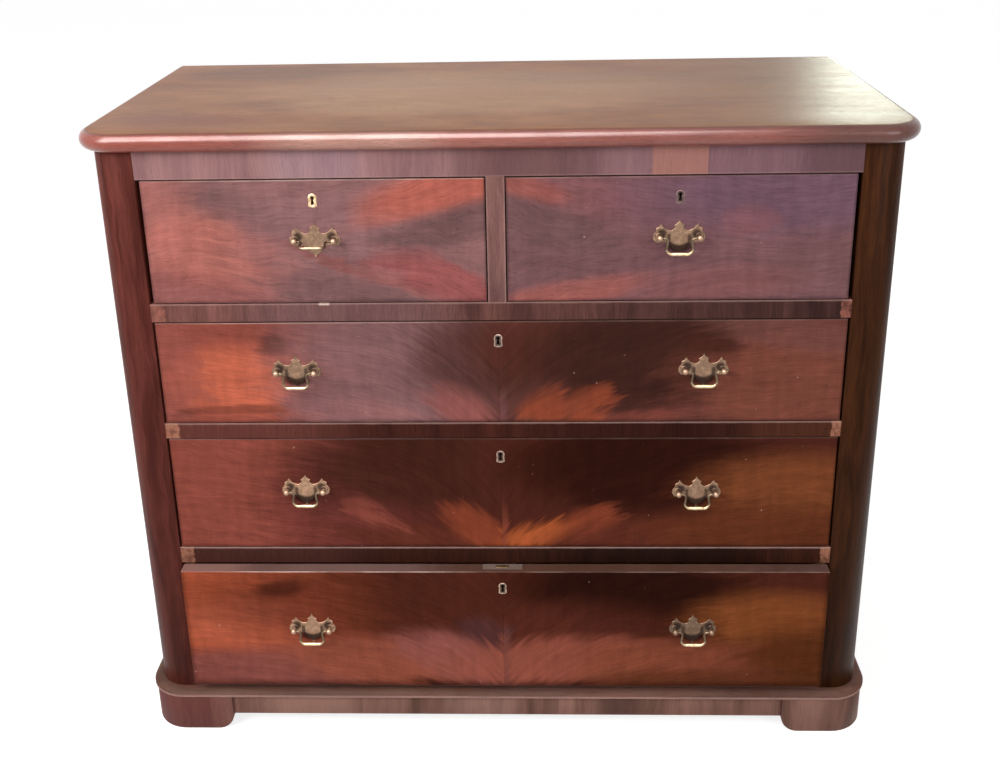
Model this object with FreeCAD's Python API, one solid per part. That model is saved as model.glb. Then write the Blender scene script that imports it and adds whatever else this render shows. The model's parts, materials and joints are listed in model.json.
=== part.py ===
# Chest of drawers: two short drawers over three long ones, between round-cornered
# stiles, under a bullnosed top and on a low plinth with bracket feet.
# Millimetres. +X is right seen from the front, the front faces -Y, +Z is up.
# Worked out with Y = 0 on the front plane of the rails and Z = 0 on the floor,
# then moved along Y so that the origin is the middle of the footprint.
import FreeCAD
import Part
import math
import os

Vector = FreeCAD.Vector

# Case
case_width = 1182
case_depth = 535
corner_radius = 45
stile_width = 67
stile_depth = 62
side_thickness = 20
back_thickness = 10
back_board_count = 6
back_board_chamfer = 1.5
bottom_board_thickness = 10

# Front, from the top down
frieze_height = 43
short_opening = 194
upper_rail_height = 29
upper_opening = 171
middle_rail_height = 26
middle_opening = 198
lower_rail_height = 29
lower_opening = 225
bottom_rail_height = 18

# Rails and muntin
rail_depth = 70
tenon_length = 20
tenon_shoulder = 4
tenon_setback = 18
tenon_thickness = 26
muntin_width = 27
muntin_tenon_length = 9

# Top
top_thickness = 28
top_overhang = 19
top_back_overhang = 10
nosing_steps = 8

# Base
base_height = 78
moulding_height = 12
moulding_projection = 17
moulding_lip = 5
moulding_quirk = 1.5
moulding_bed = 20
moulding_steps = 2
foot_projection = 14
foot_length = 142
foot_thickness = 30
foot_round = 28
rear_foot_size = 70
apron_projection = 10
apron_thickness = 20
apron_height = 38

# Runners, guides and stops inside the case
runner_width = 80
centre_runner_width = 110
guide_height = 24
guide_clearance = 1
stop_width = 45
stop_depth = 14
stop_height = 6
stop_clearance = 0.3
long_stop_place_share = 0.62
short_stop_place_share = 0.28

# Drawers
drawer_back_gap = 30
front_thickness = 22
front_foot_gap = 1.5
front_head_gap = 2
long_side_gap = 3.5
short_side_gap = 6.5
muntin_gap = 1.75
drawer_side_thickness = 12
drawer_back_thickness = 12
drawer_back_drop = 6
housing_depth = 5
side_head_gap = 8
slide_clearance = 0.4
panel_thickness = 8
panel_lift = 9
groove_depth = 5
lower_drawer_out = 22

# Dovetails
front_lap = 6
tail_pitch = 64
tail_root_share = 0.44
tail_tip_share = 0.66

# Locks
lock_width = 64
lock_height = 46
lock_depth = 12
selvage_depth = 15
selvage_thickness = 2.5
bolt_width = 20
bolt_thickness = 7
bolt_height = 21
bolt_clearance = 0.3
bolt_throw = 6.5
mortise_clearance = 1
lock_key_depth = 8

# Keyholes, each lined with a brass thread
keyhole_drop = 27
keyhole_bow_radius = 2.9
keyhole_waist = 3
keyhole_foot = 5.4
keyhole_skirt = 9.6
keyhole_sag = 1.2
thread_bow_radius = 6.4
thread_waist = 11.6
thread_foot = 13
thread_skirt = 12.4
thread_sag = 2.2
thread_depth = 4
thread_proud = 0.5
bow_steps = 5

# Pulls
pull_spread = 620
pull_lift = 5
stray_pull_lift = 4.5
stray_pull_shift = 3
post_spacing = 58
plate_thickness = 1.4
plate_half_width = 38.5
plate_rise = 26
plate_fall = 29.5
pin_reach = 13
ball_radius = 4.6
neck_radius = 3
collar_radius = 6.2
collar_top_radius = 3.6
collar_height = 2.4
shank_radius = 2
shank_hole_clearance = 0.2
shank_tail = 2
nut_size = 10
nut_thickness = 4
nut_clearance = 0.1
turned_sides = 8
ball_latitudes = (10, 60)

# Bails
pin_radius = 1.05
pin_clearance = 0.1
pin_engagement = 3
pin_end_clearance = 0.5
bail_side_clearance = 0.4
bail_neck = 16.5
bail_hip = 20.5
bail_drop = 24.5
bail_neck_bend = 5
bail_hip_bend = 6.5
rod_radius = 1.7
grip_radius = 2.8
rod_sides = 6
bend_steps = 2
raised_bail_angle = 85

# Room that a cut runs past the face it opens
overrun = 1

# Right half of a batwing plate, from the top tip round to the pendant tip,
# as shares of the half width and of the rise or the fall.
plate_edge_shares = (
    (0, 1),
    (0.07, 0.76),
    (0.195, 0.62),
    (0.155, 0.5),
    (0.3, 0.33),
    (0.55, 0.45),
    (0.7, 0.73),
    (0.76, 0.55),
    (0.87, 0.46),
    (0.9, 0.25),
    (0.985, 0.05),
    (0.985, -0.17),
    (0.86, -0.335),
    (0.5, -0.34),
    (0.285, -0.53),
    (0.22, -0.685),
    (0.07, -0.78),
    (0, -1),
)

# Levels and lines that follow from the sizes above
opening_half = case_width / 2 - stile_width
case_half = case_width / 2
side_inner = case_half - side_thickness
back_face = case_depth - back_thickness
drawer_length = back_face - drawer_back_gap
bottom_rail_top = base_height + bottom_rail_height
lower_rail_floor = bottom_rail_top + lower_opening
lower_rail_top = lower_rail_floor + lower_rail_height
middle_rail_floor = lower_rail_top + middle_opening
middle_rail_top = middle_rail_floor + middle_rail_height
upper_rail_floor = middle_rail_top + upper_opening
upper_rail_top = upper_rail_floor + upper_rail_height
frieze_floor = upper_rail_top + short_opening
case_top = frieze_floor + frieze_height
long_half = opening_half - long_side_gap
short_outer = opening_half - short_side_gap
short_inner = muntin_width / 2 + muntin_gap
short_centre = (short_outer + short_inner) / 2
bolt_back = front_thickness - (lock_depth - bolt_thickness) / 2
bolt_front = bolt_back - bolt_thickness

nodes = {}


def block(x0, x1, y0, y1, z0, z1):
    """A box between two corners."""
    return Part.makeBox(x1 - x0, y1 - y0, z1 - z0, Vector(x0, y0, z0))


def pair(solid):
    """A solid and its mirror image on the other side of the chest."""
    return [solid, solid.mirror(Vector(0, 0, 0), Vector(1, 0, 0))]


def joined(solids):
    """Solids fused into one, with the seams between flush faces removed."""
    return solids[0].multiFuse(solids[1:]).removeSplitter().Solids[0]


def cut_by(solid, tools):
    """A solid with other solids taken out of it."""
    return solid.cut(Part.makeCompound(tools)).Solids[0]


def prism(points, along):
    """A flat outline of straight edges, pushed along a vector."""
    return Part.Face(Part.makePolygon(points + points[:1])).extrude(along)


def line(a, b):
    return Part.LineSegment(a, b).toShape()


def arc(a, through, b):
    return Part.Arc(a, through, b).toShape()


def facet(*corners):
    return Part.Face(Part.makePolygon(list(corners) + [corners[0]]))


def ring(centre, across, up, radius, sides):
    """The corners of a many-sided section about a centre."""
    corners = []
    for index in range(sides):
        angle = 2 * math.pi * (index + 1 / 2) / sides
        corners.append(centre + across * (radius * math.cos(angle)) + up * (radius * math.sin(angle)))
    return corners


def skin(rings, halved):
    """A closed solid through rings of as many corners each, its side facets halved if they twist."""
    facets = [facet(*rings[0]), facet(*rings[-1])]
    for low, high in zip(rings, rings[1:]):
        for index in range(len(low)):
            corners = [low[index - 1], low[index], high[index], high[index - 1]]
            if halved:
                facets += [facet(*corners[:3]), facet(corners[0], *corners[2:])]
            else:
                facets.append(facet(*corners))
    return Part.makeSolid(Part.makeShell(facets))


def turned(x, z, stations):
    """A turned piece along Y, given as the places and radii of its steps."""
    across = Vector(1, 0, 0)
    up = Vector(0, 0, 1)
    rings = [ring(Vector(x, y, z), across, up, radius, turned_sides) for y, radius in stations]
    return skin(rings, False)


def corner_middle(centre_x, centre_y, radius, z):
    """The middle of the left-hand round corner about a centre."""
    reach = radius / math.sqrt(2)
    return Vector(centre_x - reach, centre_y - reach, z)


# Stiles, rails and muntin

def stile():
    """The left stile: a post with its outer front corner rounded."""
    x0 = -case_half
    x1 = -opening_half
    bend_end = Vector(x0, corner_radius, base_height)
    bend_start = Vector(x0 + corner_radius, 0, base_height)
    middle = corner_middle(x0 + corner_radius, corner_radius, corner_radius, base_height)
    inner_front = Vector(x1, 0, base_height)
    inner_back = Vector(x1, stile_depth, base_height)
    outer_back = Vector(x0, stile_depth, base_height)
    edges = [
        arc(bend_end, middle, bend_start),
        line(bend_start, inner_front),
        line(inner_front, inner_back),
        line(inner_back, outer_back),
        line(outer_back, bend_end),
    ]
    return Part.Face(Part.Wire(edges)).extrude(Vector(0, 0, case_top - base_height))


def rail(floor, height):
    """A rail between the stiles, with a stub tenon on each end."""
    body = block(-opening_half, opening_half, 0, rail_depth, floor, floor + height)
    reach = opening_half + tenon_length
    tenon_back = tenon_setback + tenon_thickness
    tenon_floor = floor + tenon_shoulder
    tenon_top = floor + height - tenon_shoulder
    tenon = block(-reach, reach, tenon_setback, tenon_back, tenon_floor, tenon_top)
    return joined([body, tenon])


def bolt_mortise(x, floor):
    """The pocket under a rail that a lock's bolt rises into."""
    half = bolt_width / 2 + mortise_clearance
    y0 = bolt_front - mortise_clearance
    y1 = bolt_back + mortise_clearance
    return block(x - half, x + half, y0, y1, floor - overrun, floor + bolt_throw)


def make_front_frame():
    half = muntin_width / 2
    tenon_back = tenon_setback + tenon_thickness
    tenon_floor = upper_rail_top - muntin_tenon_length
    tenon_top = frieze_floor + muntin_tenon_length
    tenon = block(-half, half, tenon_setback, tenon_back, tenon_floor, tenon_top)
    muntin = joined([block(-half, half, 0, rail_depth, upper_rail_top, frieze_floor), tenon])
    rails = {
        "frieze_rail": (frieze_floor, frieze_height, [-short_centre, short_centre]),
        "upper_rail": (upper_rail_floor, upper_rail_height, [0]),
        "middle_rail": (middle_rail_floor, middle_rail_height, [0]),
        "lower_rail": (lower_rail_floor, lower_rail_height, [0]),
        "bottom_rail": (base_height, bottom_rail_height, []),
    }
    for name, (floor, height, bolts) in rails.items():
        pockets = [bolt_mortise(x, floor) for x in bolts]
        nodes[name] = [cut_by(rail(floor, height), pockets + [muntin])]
    nodes["muntin"] = [muntin]
    tenons = [nodes[name][0] for name in rails]
    left, right = pair(stile())
    nodes["left_stile"] = [cut_by(left, tenons)]
    nodes["right_stile"] = [cut_by(right, tenons)]


# Sides, back, bottom and top

def make_carcase():
    side = block(-case_half, -side_inner, stile_depth, case_depth, base_height, case_top)
    nodes["left_side"], nodes["right_side"] = [[solid] for solid in pair(side)]
    width = 2 * side_inner / back_board_count
    boards = []
    for index in range(back_board_count):
        x0 = -side_inner + index * width
        board = block(x0, x0 + width, back_face, case_depth, base_height, case_top)
        corners = [edge for edge in board.Edges if is_back_corner(edge)]
        boards.append(board.makeChamfer(back_board_chamfer, corners).Solids[0])
    nodes["back_boards"] = boards
    board_top = base_height + bottom_board_thickness
    nodes["bottom_board"] = [block(-side_inner, side_inner, rail_depth, back_face, base_height, board_top)]
    nodes["top"] = [top_board()]


def is_back_corner(edge):
    """True for an upright edge on the back of the chest."""
    box = edge.BoundBox
    return box.ZLength > box.XLength and box.YMin > back_face + back_thickness / 2


def run_round(section, back):
    """A section run along the front, round both front corners and back along the sides."""
    centre_x = case_half - corner_radius
    front = section(lambda out, up: Vector(-centre_x, -out, up))
    strip = front.extrude(Vector(2 * centre_x, 0, 0))
    corner = front.revolve(Vector(-centre_x, corner_radius, 0), Vector(0, 0, 1), -90)
    side = section(lambda out, up: Vector(-case_half - out, corner_radius, up))
    side_strip = side.extrude(Vector(0, back - corner_radius, 0))
    return [strip] + pair(corner) + pair(side_strip)


def nosing(place):
    """The section of the top's edge, a half round of short flats; place(out, up) gives a point."""
    radius = top_thickness / 2
    points = [place(-corner_radius, case_top)]
    for step in range(nosing_steps + 1):
        angle = math.pi * (step / nosing_steps - 1 / 2)
        out = top_overhang - radius + radius * math.cos(angle)
        points.append(place(out, case_top + radius + radius * math.sin(angle)))
    points.append(place(-corner_radius, case_top + top_thickness))
    return facet(*points)


def top_board():
    """The top: round front corners, and a half-round edge on all but its back."""
    centre_x = case_half - corner_radius
    back = case_depth + top_back_overhang
    middle = block(-centre_x, centre_x, corner_radius, back, case_top, case_top + top_thickness)
    return joined([middle] + run_round(nosing, back))


# Base moulding, feet and aprons

def ovolo(place):
    """The section of the base moulding, where place(out, up) gives a point."""
    low = base_height - moulding_height
    run = moulding_projection - moulding_quirk
    drop = moulding_height - moulding_lip
    radius = (run ** 2 + drop ** 2) / (2 * drop)
    points = [place(-moulding_bed, low), place(-moulding_bed, base_height)]
    for step in range(moulding_steps + 1):
        angle = math.asin(run / radius) * step / moulding_steps
        out = moulding_quirk + radius * math.sin(angle)
        points.append(place(out, base_height - radius * (1 - math.cos(angle))))
    points.append(place(moulding_projection, low))
    return facet(*points)


def front_foot():
    """A bracket foot: round outside the case's corner, its two ends rounded under."""
    top = base_height - moulding_height
    outer = -case_half - foot_projection
    front = -foot_projection
    radius = corner_radius + foot_projection
    inner_radius = radius - foot_thickness
    centre_x = outer + radius
    centre_y = front + radius
    end_x = outer + foot_length
    end_y = front + foot_length
    places = [
        Vector(outer, end_y, 0),
        Vector(outer, centre_y, 0),
        Vector(centre_x, front, 0),
        Vector(end_x, front, 0),
        Vector(end_x, front + foot_thickness, 0),
        Vector(centre_x, front + foot_thickness, 0),
        Vector(outer + foot_thickness, centre_y, 0),
        Vector(outer + foot_thickness, end_y, 0),
    ]
    outer_middle = corner_middle(centre_x, centre_y, radius, 0)
    inner_middle = corner_middle(centre_x, centre_y, inner_radius, 0)
    edges = [
        line(places[0], places[1]),
        arc(places[1], outer_middle, places[2]),
        line(places[2], places[3]),
        line(places[3], places[4]),
        line(places[4], places[5]),
        arc(places[5], inner_middle, places[6]),
        line(places[6], places[7]),
        line(places[7], places[0]),
    ]
    foot = Part.Face(Part.Wire(edges)).extrude(Vector(0, 0, top))
    ends = [edge for edge in foot.Edges if is_foot_end(edge, end_x, end_y)]
    return foot.makeFillet(foot_round, ends).Solids[0]


def is_foot_end(edge, end_x, end_y):
    """True for the floor edge at the end of either arm of a foot."""
    centre = edge.BoundBox.Center
    on_floor = edge.BoundBox.ZMax < foot_round / 2
    at_end = math.isclose(centre.x, end_x) or math.isclose(centre.y, end_y)
    return on_floor and at_end


def make_base():
    nodes["base_moulding"] = run_round(ovolo, case_depth)
    top = base_height - moulding_height
    low = top - apron_height
    outer = case_half + foot_projection
    rear = block(-outer, rear_foot_size - outer, case_depth - rear_foot_size, case_depth, 0, top)
    nodes["feet"] = pair(front_foot()) + pair(rear)
    front_half = outer - foot_length
    front = -apron_projection
    face = -case_half - apron_projection
    side_start = foot_length - foot_projection
    side_end = case_depth - rear_foot_size
    front_apron = block(-front_half, front_half, front, front + apron_thickness, low, top)
    side_apron = block(face, face + apron_thickness, side_start, side_end, low, top)
    nodes["plinth"] = [front_apron] + pair(side_apron)


# Runners, guides, kickers and stops

def runner_level(floor, height, guide):
    """A pair of runners level with a rail, and the guides on them, if any."""
    inner = runner_width - side_inner
    strips = pair(block(-side_inner, inner, rail_depth, back_face, floor, floor + height))
    if guide:
        top = floor + height
        strips += pair(block(-side_inner, -guide, rail_depth, back_face, top, top + guide_height))
    return strips


def stops(places, floor):
    y0 = front_thickness + stop_clearance
    half = stop_width / 2
    return [block(x - half, x + half, y0, y0 + stop_depth, floor, floor + stop_height) for x in places]


def make_runners():
    board_top = base_height + bottom_board_thickness
    long_guide = long_half + guide_clearance
    short_guide = short_outer + guide_clearance
    centre_half = centre_runner_width / 2
    centre_guide = short_inner - guide_clearance
    centre_top = upper_rail_top + guide_height
    long_stops = [-long_stop_place_share * opening_half, long_stop_place_share * opening_half]
    offset = short_stop_place_share * (short_outer - short_inner)
    short_stops = [side * short_centre + x for side in (-1, 1) for x in (-offset, offset)]
    strips = runner_level(board_top, bottom_rail_top - board_top, long_guide)
    strips += runner_level(lower_rail_floor, lower_rail_height, long_guide)
    strips += runner_level(middle_rail_floor, middle_rail_height, long_guide)
    strips += runner_level(upper_rail_floor, upper_rail_height, short_guide)
    strips += runner_level(frieze_floor, frieze_height, 0)
    strips.append(block(-centre_half, centre_half, rail_depth, back_face, upper_rail_floor, upper_rail_top))
    strips.append(block(-centre_guide, centre_guide, rail_depth, back_face, upper_rail_top, centre_top))
    strips.append(block(-centre_half, centre_half, rail_depth, back_face, frieze_floor, case_top))
    for floor in (bottom_rail_top, lower_rail_top, middle_rail_top):
        strips += stops(long_stops, floor)
    strips += stops(short_stops, upper_rail_top)
    nodes["runners_and_stops"] = strips


# Drawers

def tails(x0, x1, root, tip, low, high):
    """A row of dovetails on the end of a drawer side, widest at the tip."""
    count = max(2, round((high - low) / tail_pitch))
    pitch = (high - low) / count
    row = []
    for index in range(count):
        middle = low + (index + 1 / 2) * pitch
        root_half = tail_root_share * pitch / 2
        tip_half = tail_tip_share * pitch / 2
        outline = [
            Vector(x0, root, middle - root_half),
            Vector(x0, tip, middle - tip_half),
            Vector(x0, tip, middle + tip_half),
            Vector(x0, root, middle + root_half),
        ]
        row.append(prism(outline, Vector(x1 - x0, 0, 0)))
    return row


def keyhole(x, z, bow, waist, foot, skirt, sag, y0, y1):
    """A keyhole-shaped prism: a round bow over a skirt that flares to its foot."""
    low = z - skirt
    turn = math.acos(waist / 2 / bow)
    corners = [Vector(x + foot / 2, y0, low), Vector(x, y0, low - sag), Vector(x - foot / 2, y0, low)]
    for step in range(bow_steps + 1):
        angle = math.pi + turn - (math.pi + 2 * turn) * step / bow_steps
        corners.append(Vector(x + bow * math.cos(angle), y0, z + bow * math.sin(angle)))
    return prism(corners, Vector(0, y1 - y0, 0))


def key_way(x, z, y0, y1):
    """The hole that the key goes through."""
    sizes = (keyhole_bow_radius, keyhole_waist, keyhole_foot, keyhole_skirt, keyhole_sag)
    return keyhole(x, z, *sizes, y0, y1)


def lock_body(x, top):
    """The outside of a lock: its case, let into the front, under its selvage."""
    half = lock_width / 2
    back = front_thickness
    case = block(x - half, x + half, back - lock_depth, back, top - lock_height, top)
    selvage = block(x - half, x + half, back - selvage_depth, back, top - selvage_thickness, top)
    return joined([case, selvage])


def drawer(name, left, right, floor, ceiling, pull_places, out):
    """One drawer with its lock, thread and pulls, standing out from the rails."""
    front_top = ceiling - front_head_gap
    front_floor = floor + front_foot_gap
    side_floor = floor + slide_clearance
    side_top = ceiling - side_head_gap
    panel_floor = side_floor + panel_lift
    panel_top = panel_floor + panel_thickness
    back_top = side_top - drawer_back_drop
    back_start = drawer_length - drawer_back_thickness
    inner_left = left + drawer_side_thickness
    inner_right = right - drawer_side_thickness
    panel_left = inner_left - groove_depth
    panel_right = inner_right + groove_depth
    panel_front = front_thickness - groove_depth
    panel = block(panel_left, panel_right, panel_front, drawer_length, panel_floor, panel_top)
    back_left = inner_left - housing_depth
    back_right = inner_right + housing_depth
    back = block(back_left, back_right, back_start, drawer_length, panel_top, back_top)
    sides = []
    for x0, x1 in ((left, inner_left), (inner_right, right)):
        board = block(x0, x1, front_thickness, drawer_length, side_floor, side_top)
        row = tails(x0, x1, front_thickness, front_lap, front_floor, side_top)
        sides.append(cut_by(joined([board] + row), [panel, back]))

    key_x = (left + right) / 2
    key_z = front_top - keyhole_drop
    body = lock_body(key_x, front_top)
    lock_front = front_thickness - lock_depth
    thread_sizes = (thread_bow_radius, thread_waist, thread_foot, thread_skirt, thread_sag)
    thread = keyhole(key_x, key_z, *thread_sizes, -thread_proud, thread_depth)
    way = key_way(key_x, key_z, -thread_proud - overrun, lock_front + lock_key_depth)
    bores = []
    pulls = []
    for x, lift in pull_places:
        pull_z = pull_level(floor, ceiling) + lift
        bores += [shank_bore(x + side * post_spacing / 2, pull_z) for side in (-1, 1)]
        pulls += pull(x, pull_z)
    front = block(left, right, 0, front_thickness, front_floor, front_top)
    front = cut_by(front, sides + [panel, body, thread, way] + bores)

    pocket_half = bolt_width / 2 + bolt_clearance
    pocket_floor = front_top - bolt_height - 2 * bolt_clearance
    pocket_front = bolt_front - bolt_clearance
    pocket_back = bolt_back + bolt_clearance
    pocket_left = key_x - pocket_half
    pocket_right = key_x + pocket_half
    pocket = block(pocket_left, pocket_right, pocket_front, pocket_back, pocket_floor, ceiling)
    bolt_left = pocket_left + bolt_clearance
    bolt_right = pocket_right - bolt_clearance
    bolt_floor = pocket_floor + bolt_clearance
    bolt = block(bolt_left, bolt_right, bolt_front, bolt_back, bolt_floor, bolt_floor + bolt_height)

    pieces = {
        "front": [front],
        "box": sides + [back],
        "bottom": [panel],
        "lock_case": [cut_by(body, [pocket, way])],
        "lock_bolt": [bolt],
        "escutcheon": [cut_by(thread, [way])],
        "pulls": pulls,
    }
    for piece, solids in pieces.items():
        nodes[name + "_" + piece] = [moved(solid, -out) for solid in solids]


def moved(solid, along_y):
    return solid.translated(Vector(0, along_y, 0))


# Pulls and their bails

def pull_level(floor, ceiling):
    """The height of the posts in an opening: a little above the middle of its drawer front."""
    return (floor + front_foot_gap + ceiling - front_head_gap) / 2 + pull_lift


def shank_bore(x, z):
    """The hole through a drawer front for a pull's post."""
    radius = shank_radius + shank_hole_clearance
    return turned(x, z, [(-plate_thickness - overrun, radius), (front_thickness + overrun, radius)])


def plate_point(x, z, shares, side):
    height = plate_rise if shares[1] > 0 else plate_fall
    return Vector(x + side * shares[0] * plate_half_width, 0, z + shares[1] * height)


def plate(x, z):
    """A batwing plate flat on the drawer front, bored for its posts."""
    outline = [plate_point(x, z, shares, 1) for shares in plate_edge_shares]
    outline += [plate_point(x, z, shares, -1) for shares in reversed(plate_edge_shares[1:-1])]
    board = prism(outline, Vector(0, -plate_thickness, 0))
    return cut_by(board, [shank_bore(x + side * post_spacing / 2, z) for side in (-1, 1)])


def post(x, z, inward):
    """A turned post: collar, neck and ball, with a shank through to its nut."""
    tail = front_thickness + nut_thickness + shank_tail
    seat = -plate_thickness
    stations = [
        (tail, shank_radius),
        (seat, shank_radius),
        (seat, collar_radius),
        (seat - collar_height, collar_top_radius),
        (math.sqrt(ball_radius ** 2 - neck_radius ** 2) - pin_reach, neck_radius),
    ]
    for latitude in ball_latitudes:
        angle = math.radians(latitude)
        stations.append((-pin_reach - ball_radius * math.sin(angle), ball_radius * math.cos(angle)))
    mouth = inward * (ball_radius + bail_side_clearance)
    depth = inward * (pin_engagement + pin_end_clearance + bail_side_clearance)
    radius = (pin_radius + pin_clearance) / math.cos(math.pi / turned_sides)
    ends = [Vector(x + mouth, -pin_reach, z), Vector(x + mouth - depth, -pin_reach, z)]
    rings = [ring(end, Vector(0, 1, 0), Vector(0, 0, 1), radius, turned_sides) for end in ends]
    return cut_by(turned(x, z, stations), [skin(rings, False)])


def nut(x, z):
    """A square nut on the shank, inside the drawer."""
    half = nut_size / 2
    y1 = front_thickness + nut_thickness
    radius = shank_radius + nut_clearance
    hole = turned(x, z, [(front_thickness - overrun, radius), (y1 + overrun, radius)])
    return cut_by(block(x - half, x + half, front_thickness, y1, z - half, z + half), [hole])


def pull(x, z):
    """A plate, its two posts and their nuts."""
    solids = [plate(x, z)]
    for side in (-1, 1):
        place = x + side * post_spacing / 2
        solids += [post(place, z, -side), nut(place, z)]
    return solids


def bend(before, corner, after, radius):
    """Places and headings round a bend of a bail, worked out in its own plane."""
    heading_in = math.atan2(corner[1] - before[1], corner[0] - before[0])
    heading_out = math.atan2(after[1] - corner[1], after[0] - corner[0])
    turn = (heading_out - heading_in + math.pi) % (2 * math.pi) - math.pi
    reach = radius * math.tan(abs(turn) / 2)
    side = math.copysign(1, turn)
    start_x = corner[0] - reach * math.cos(heading_in)
    start_z = corner[1] - reach * math.sin(heading_in)
    centre_x = start_x - side * radius * math.sin(heading_in)
    centre_z = start_z + side * radius * math.cos(heading_in)
    stations = []
    for step in range(bend_steps + 1):
        heading = heading_in + turn * step / bend_steps
        x = centre_x + side * radius * math.sin(heading)
        z = centre_z - side * radius * math.cos(heading)
        stations.append((x, z, heading))
    return stations


def bail_stations():
    """Places, headings and radii along a hanging bail, from its right pin to its left."""
    shoulder = post_spacing / 2 - ball_radius - bail_side_clearance
    places = [(shoulder, 0), (bail_neck, 0), (bail_hip, -bail_drop), (0, -bail_drop)]
    half = [(shoulder, 0, math.pi)]
    half += bend(places[0], places[1], places[2], bail_neck_bend)
    half += bend(places[1], places[2], places[3], bail_hip_bend)
    half.append((0, -bail_drop, math.pi))
    right = [(x, z, heading, rod_radius_at(x, z)) for x, z, heading in half]
    left = [(-x, z, 2 * math.pi - heading, radius) for x, z, heading, radius in reversed(right[:-1])]
    return right + left


def rod_radius_at(x, z):
    """The rod's radius, which swells along the grip at the foot of the bail."""
    depth_share = max(0, -2 * z / bail_drop - 1)
    swell_share = max(0, 1 - (x / bail_hip) ** 2)
    return rod_radius + (grip_radius - rod_radius) * swell_share * depth_share


def rod_section(x, z, heading, radius):
    """A many-sided section across the rod."""
    across = Vector(-math.sin(heading), 0, math.cos(heading))
    return ring(Vector(x, 0, z), across, Vector(0, 1, 0), radius, rod_sides)


def bail(x, z, angle, out):
    """A bail hung by its pins in two posts, turned up by an angle."""
    rod = skin([rod_section(*station) for station in bail_stations()], True)
    shoulder = post_spacing / 2 - ball_radius - bail_side_clearance
    length = bail_side_clearance + pin_engagement
    pins = pair(Part.makeCylinder(pin_radius, length, Vector(shoulder, 0, 0), Vector(1, 0, 0)))
    solid = rod.multiFuse(pins).Solids[0]
    solid.rotate(Vector(0, 0, 0), Vector(-1, 0, 0), angle)
    return solid.translated(Vector(x, -pin_reach - out, z))


# The five drawers: ends, opening, places of the pulls and how far each stands out.
# A place is a pull's middle and how far it was fitted above its neighbours.
right_pull = (pull_spread / 2, 0)
strayed_right_pull = (pull_spread / 2 - stray_pull_shift, 0)
upper_pulls = [(-pull_spread / 2, 0), right_pull]
middle_pulls = [(-pull_spread / 2, stray_pull_lift), strayed_right_pull]
lower_pulls = [(-pull_spread / 2 - stray_pull_shift, 0), strayed_right_pull]
drawers = {
    "short_left": (-short_outer, -short_inner, upper_rail_top, frieze_floor, [(-short_centre, 0)], 0),
    "short_right": (short_inner, short_outer, upper_rail_top, frieze_floor, [(short_centre, 0)], 0),
    "upper_long": (-long_half, long_half, middle_rail_top, upper_rail_floor, upper_pulls, 0),
    "middle_long": (-long_half, long_half, lower_rail_top, middle_rail_floor, middle_pulls, 0),
    "lower_long": (-long_half, long_half, bottom_rail_top, lower_rail_floor, lower_pulls, lower_drawer_out),
}


def bail_name(name, x, places):
    """A bail's node: the drawer's name, and left or right where it has two."""
    if len(places) == 1:
        return name + "_bail"
    return name + ("_left_bail" if x < 0 else "_right_bail")


def make_drawers():
    for name, (left, right, floor, ceiling, places, out) in drawers.items():
        drawer(name, left, right, floor, ceiling, places, out)
        for x, lift in places:
            angle = raised_bail_angle if name == "short_left" else 0
            pull_z = pull_level(floor, ceiling) + lift
            nodes[bail_name(name, x, places)] = [bail(x, pull_z, angle, out)]


def footprint_middle():
    """The middle of the chest from its foremost to its rearmost point."""
    box = Part.makeCompound([solid for solids in nodes.values() for solid in solids]).BoundBox
    return (box.YMin + box.YMax) / 2


make_front_frame()
make_carcase()
make_base()
make_runners()
make_drawers()

origin_y = footprint_middle()
os.makedirs("parts", exist_ok=True)
for node, solids in nodes.items():
    placed = [moved(solid, -origin_y) for solid in solids]
    shape = placed[0] if len(placed) == 1 else Part.makeCompound(placed)
    shape.exportStep("parts/" + node + ".step")
solid_count = sum(len(solids) for solids in nodes.values())
print(len(nodes), "nodes,", solid_count, "solids, footprint middle", round(origin_y, 3))
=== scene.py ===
# %% [markdown]
# # A veneered chest of drawers
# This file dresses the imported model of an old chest: two short drawers over three
# long ones, in mahogany, with flame veneer, batwing pulls and brass-lined keyholes.
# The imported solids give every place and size. Blender adds what a lens sees: the
# figure of the veneer, worn polish, tarnished brass, soft edges and light.

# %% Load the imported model
import json
import math

import bmesh
import bpy
from mathutils import Matrix, Vector

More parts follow.
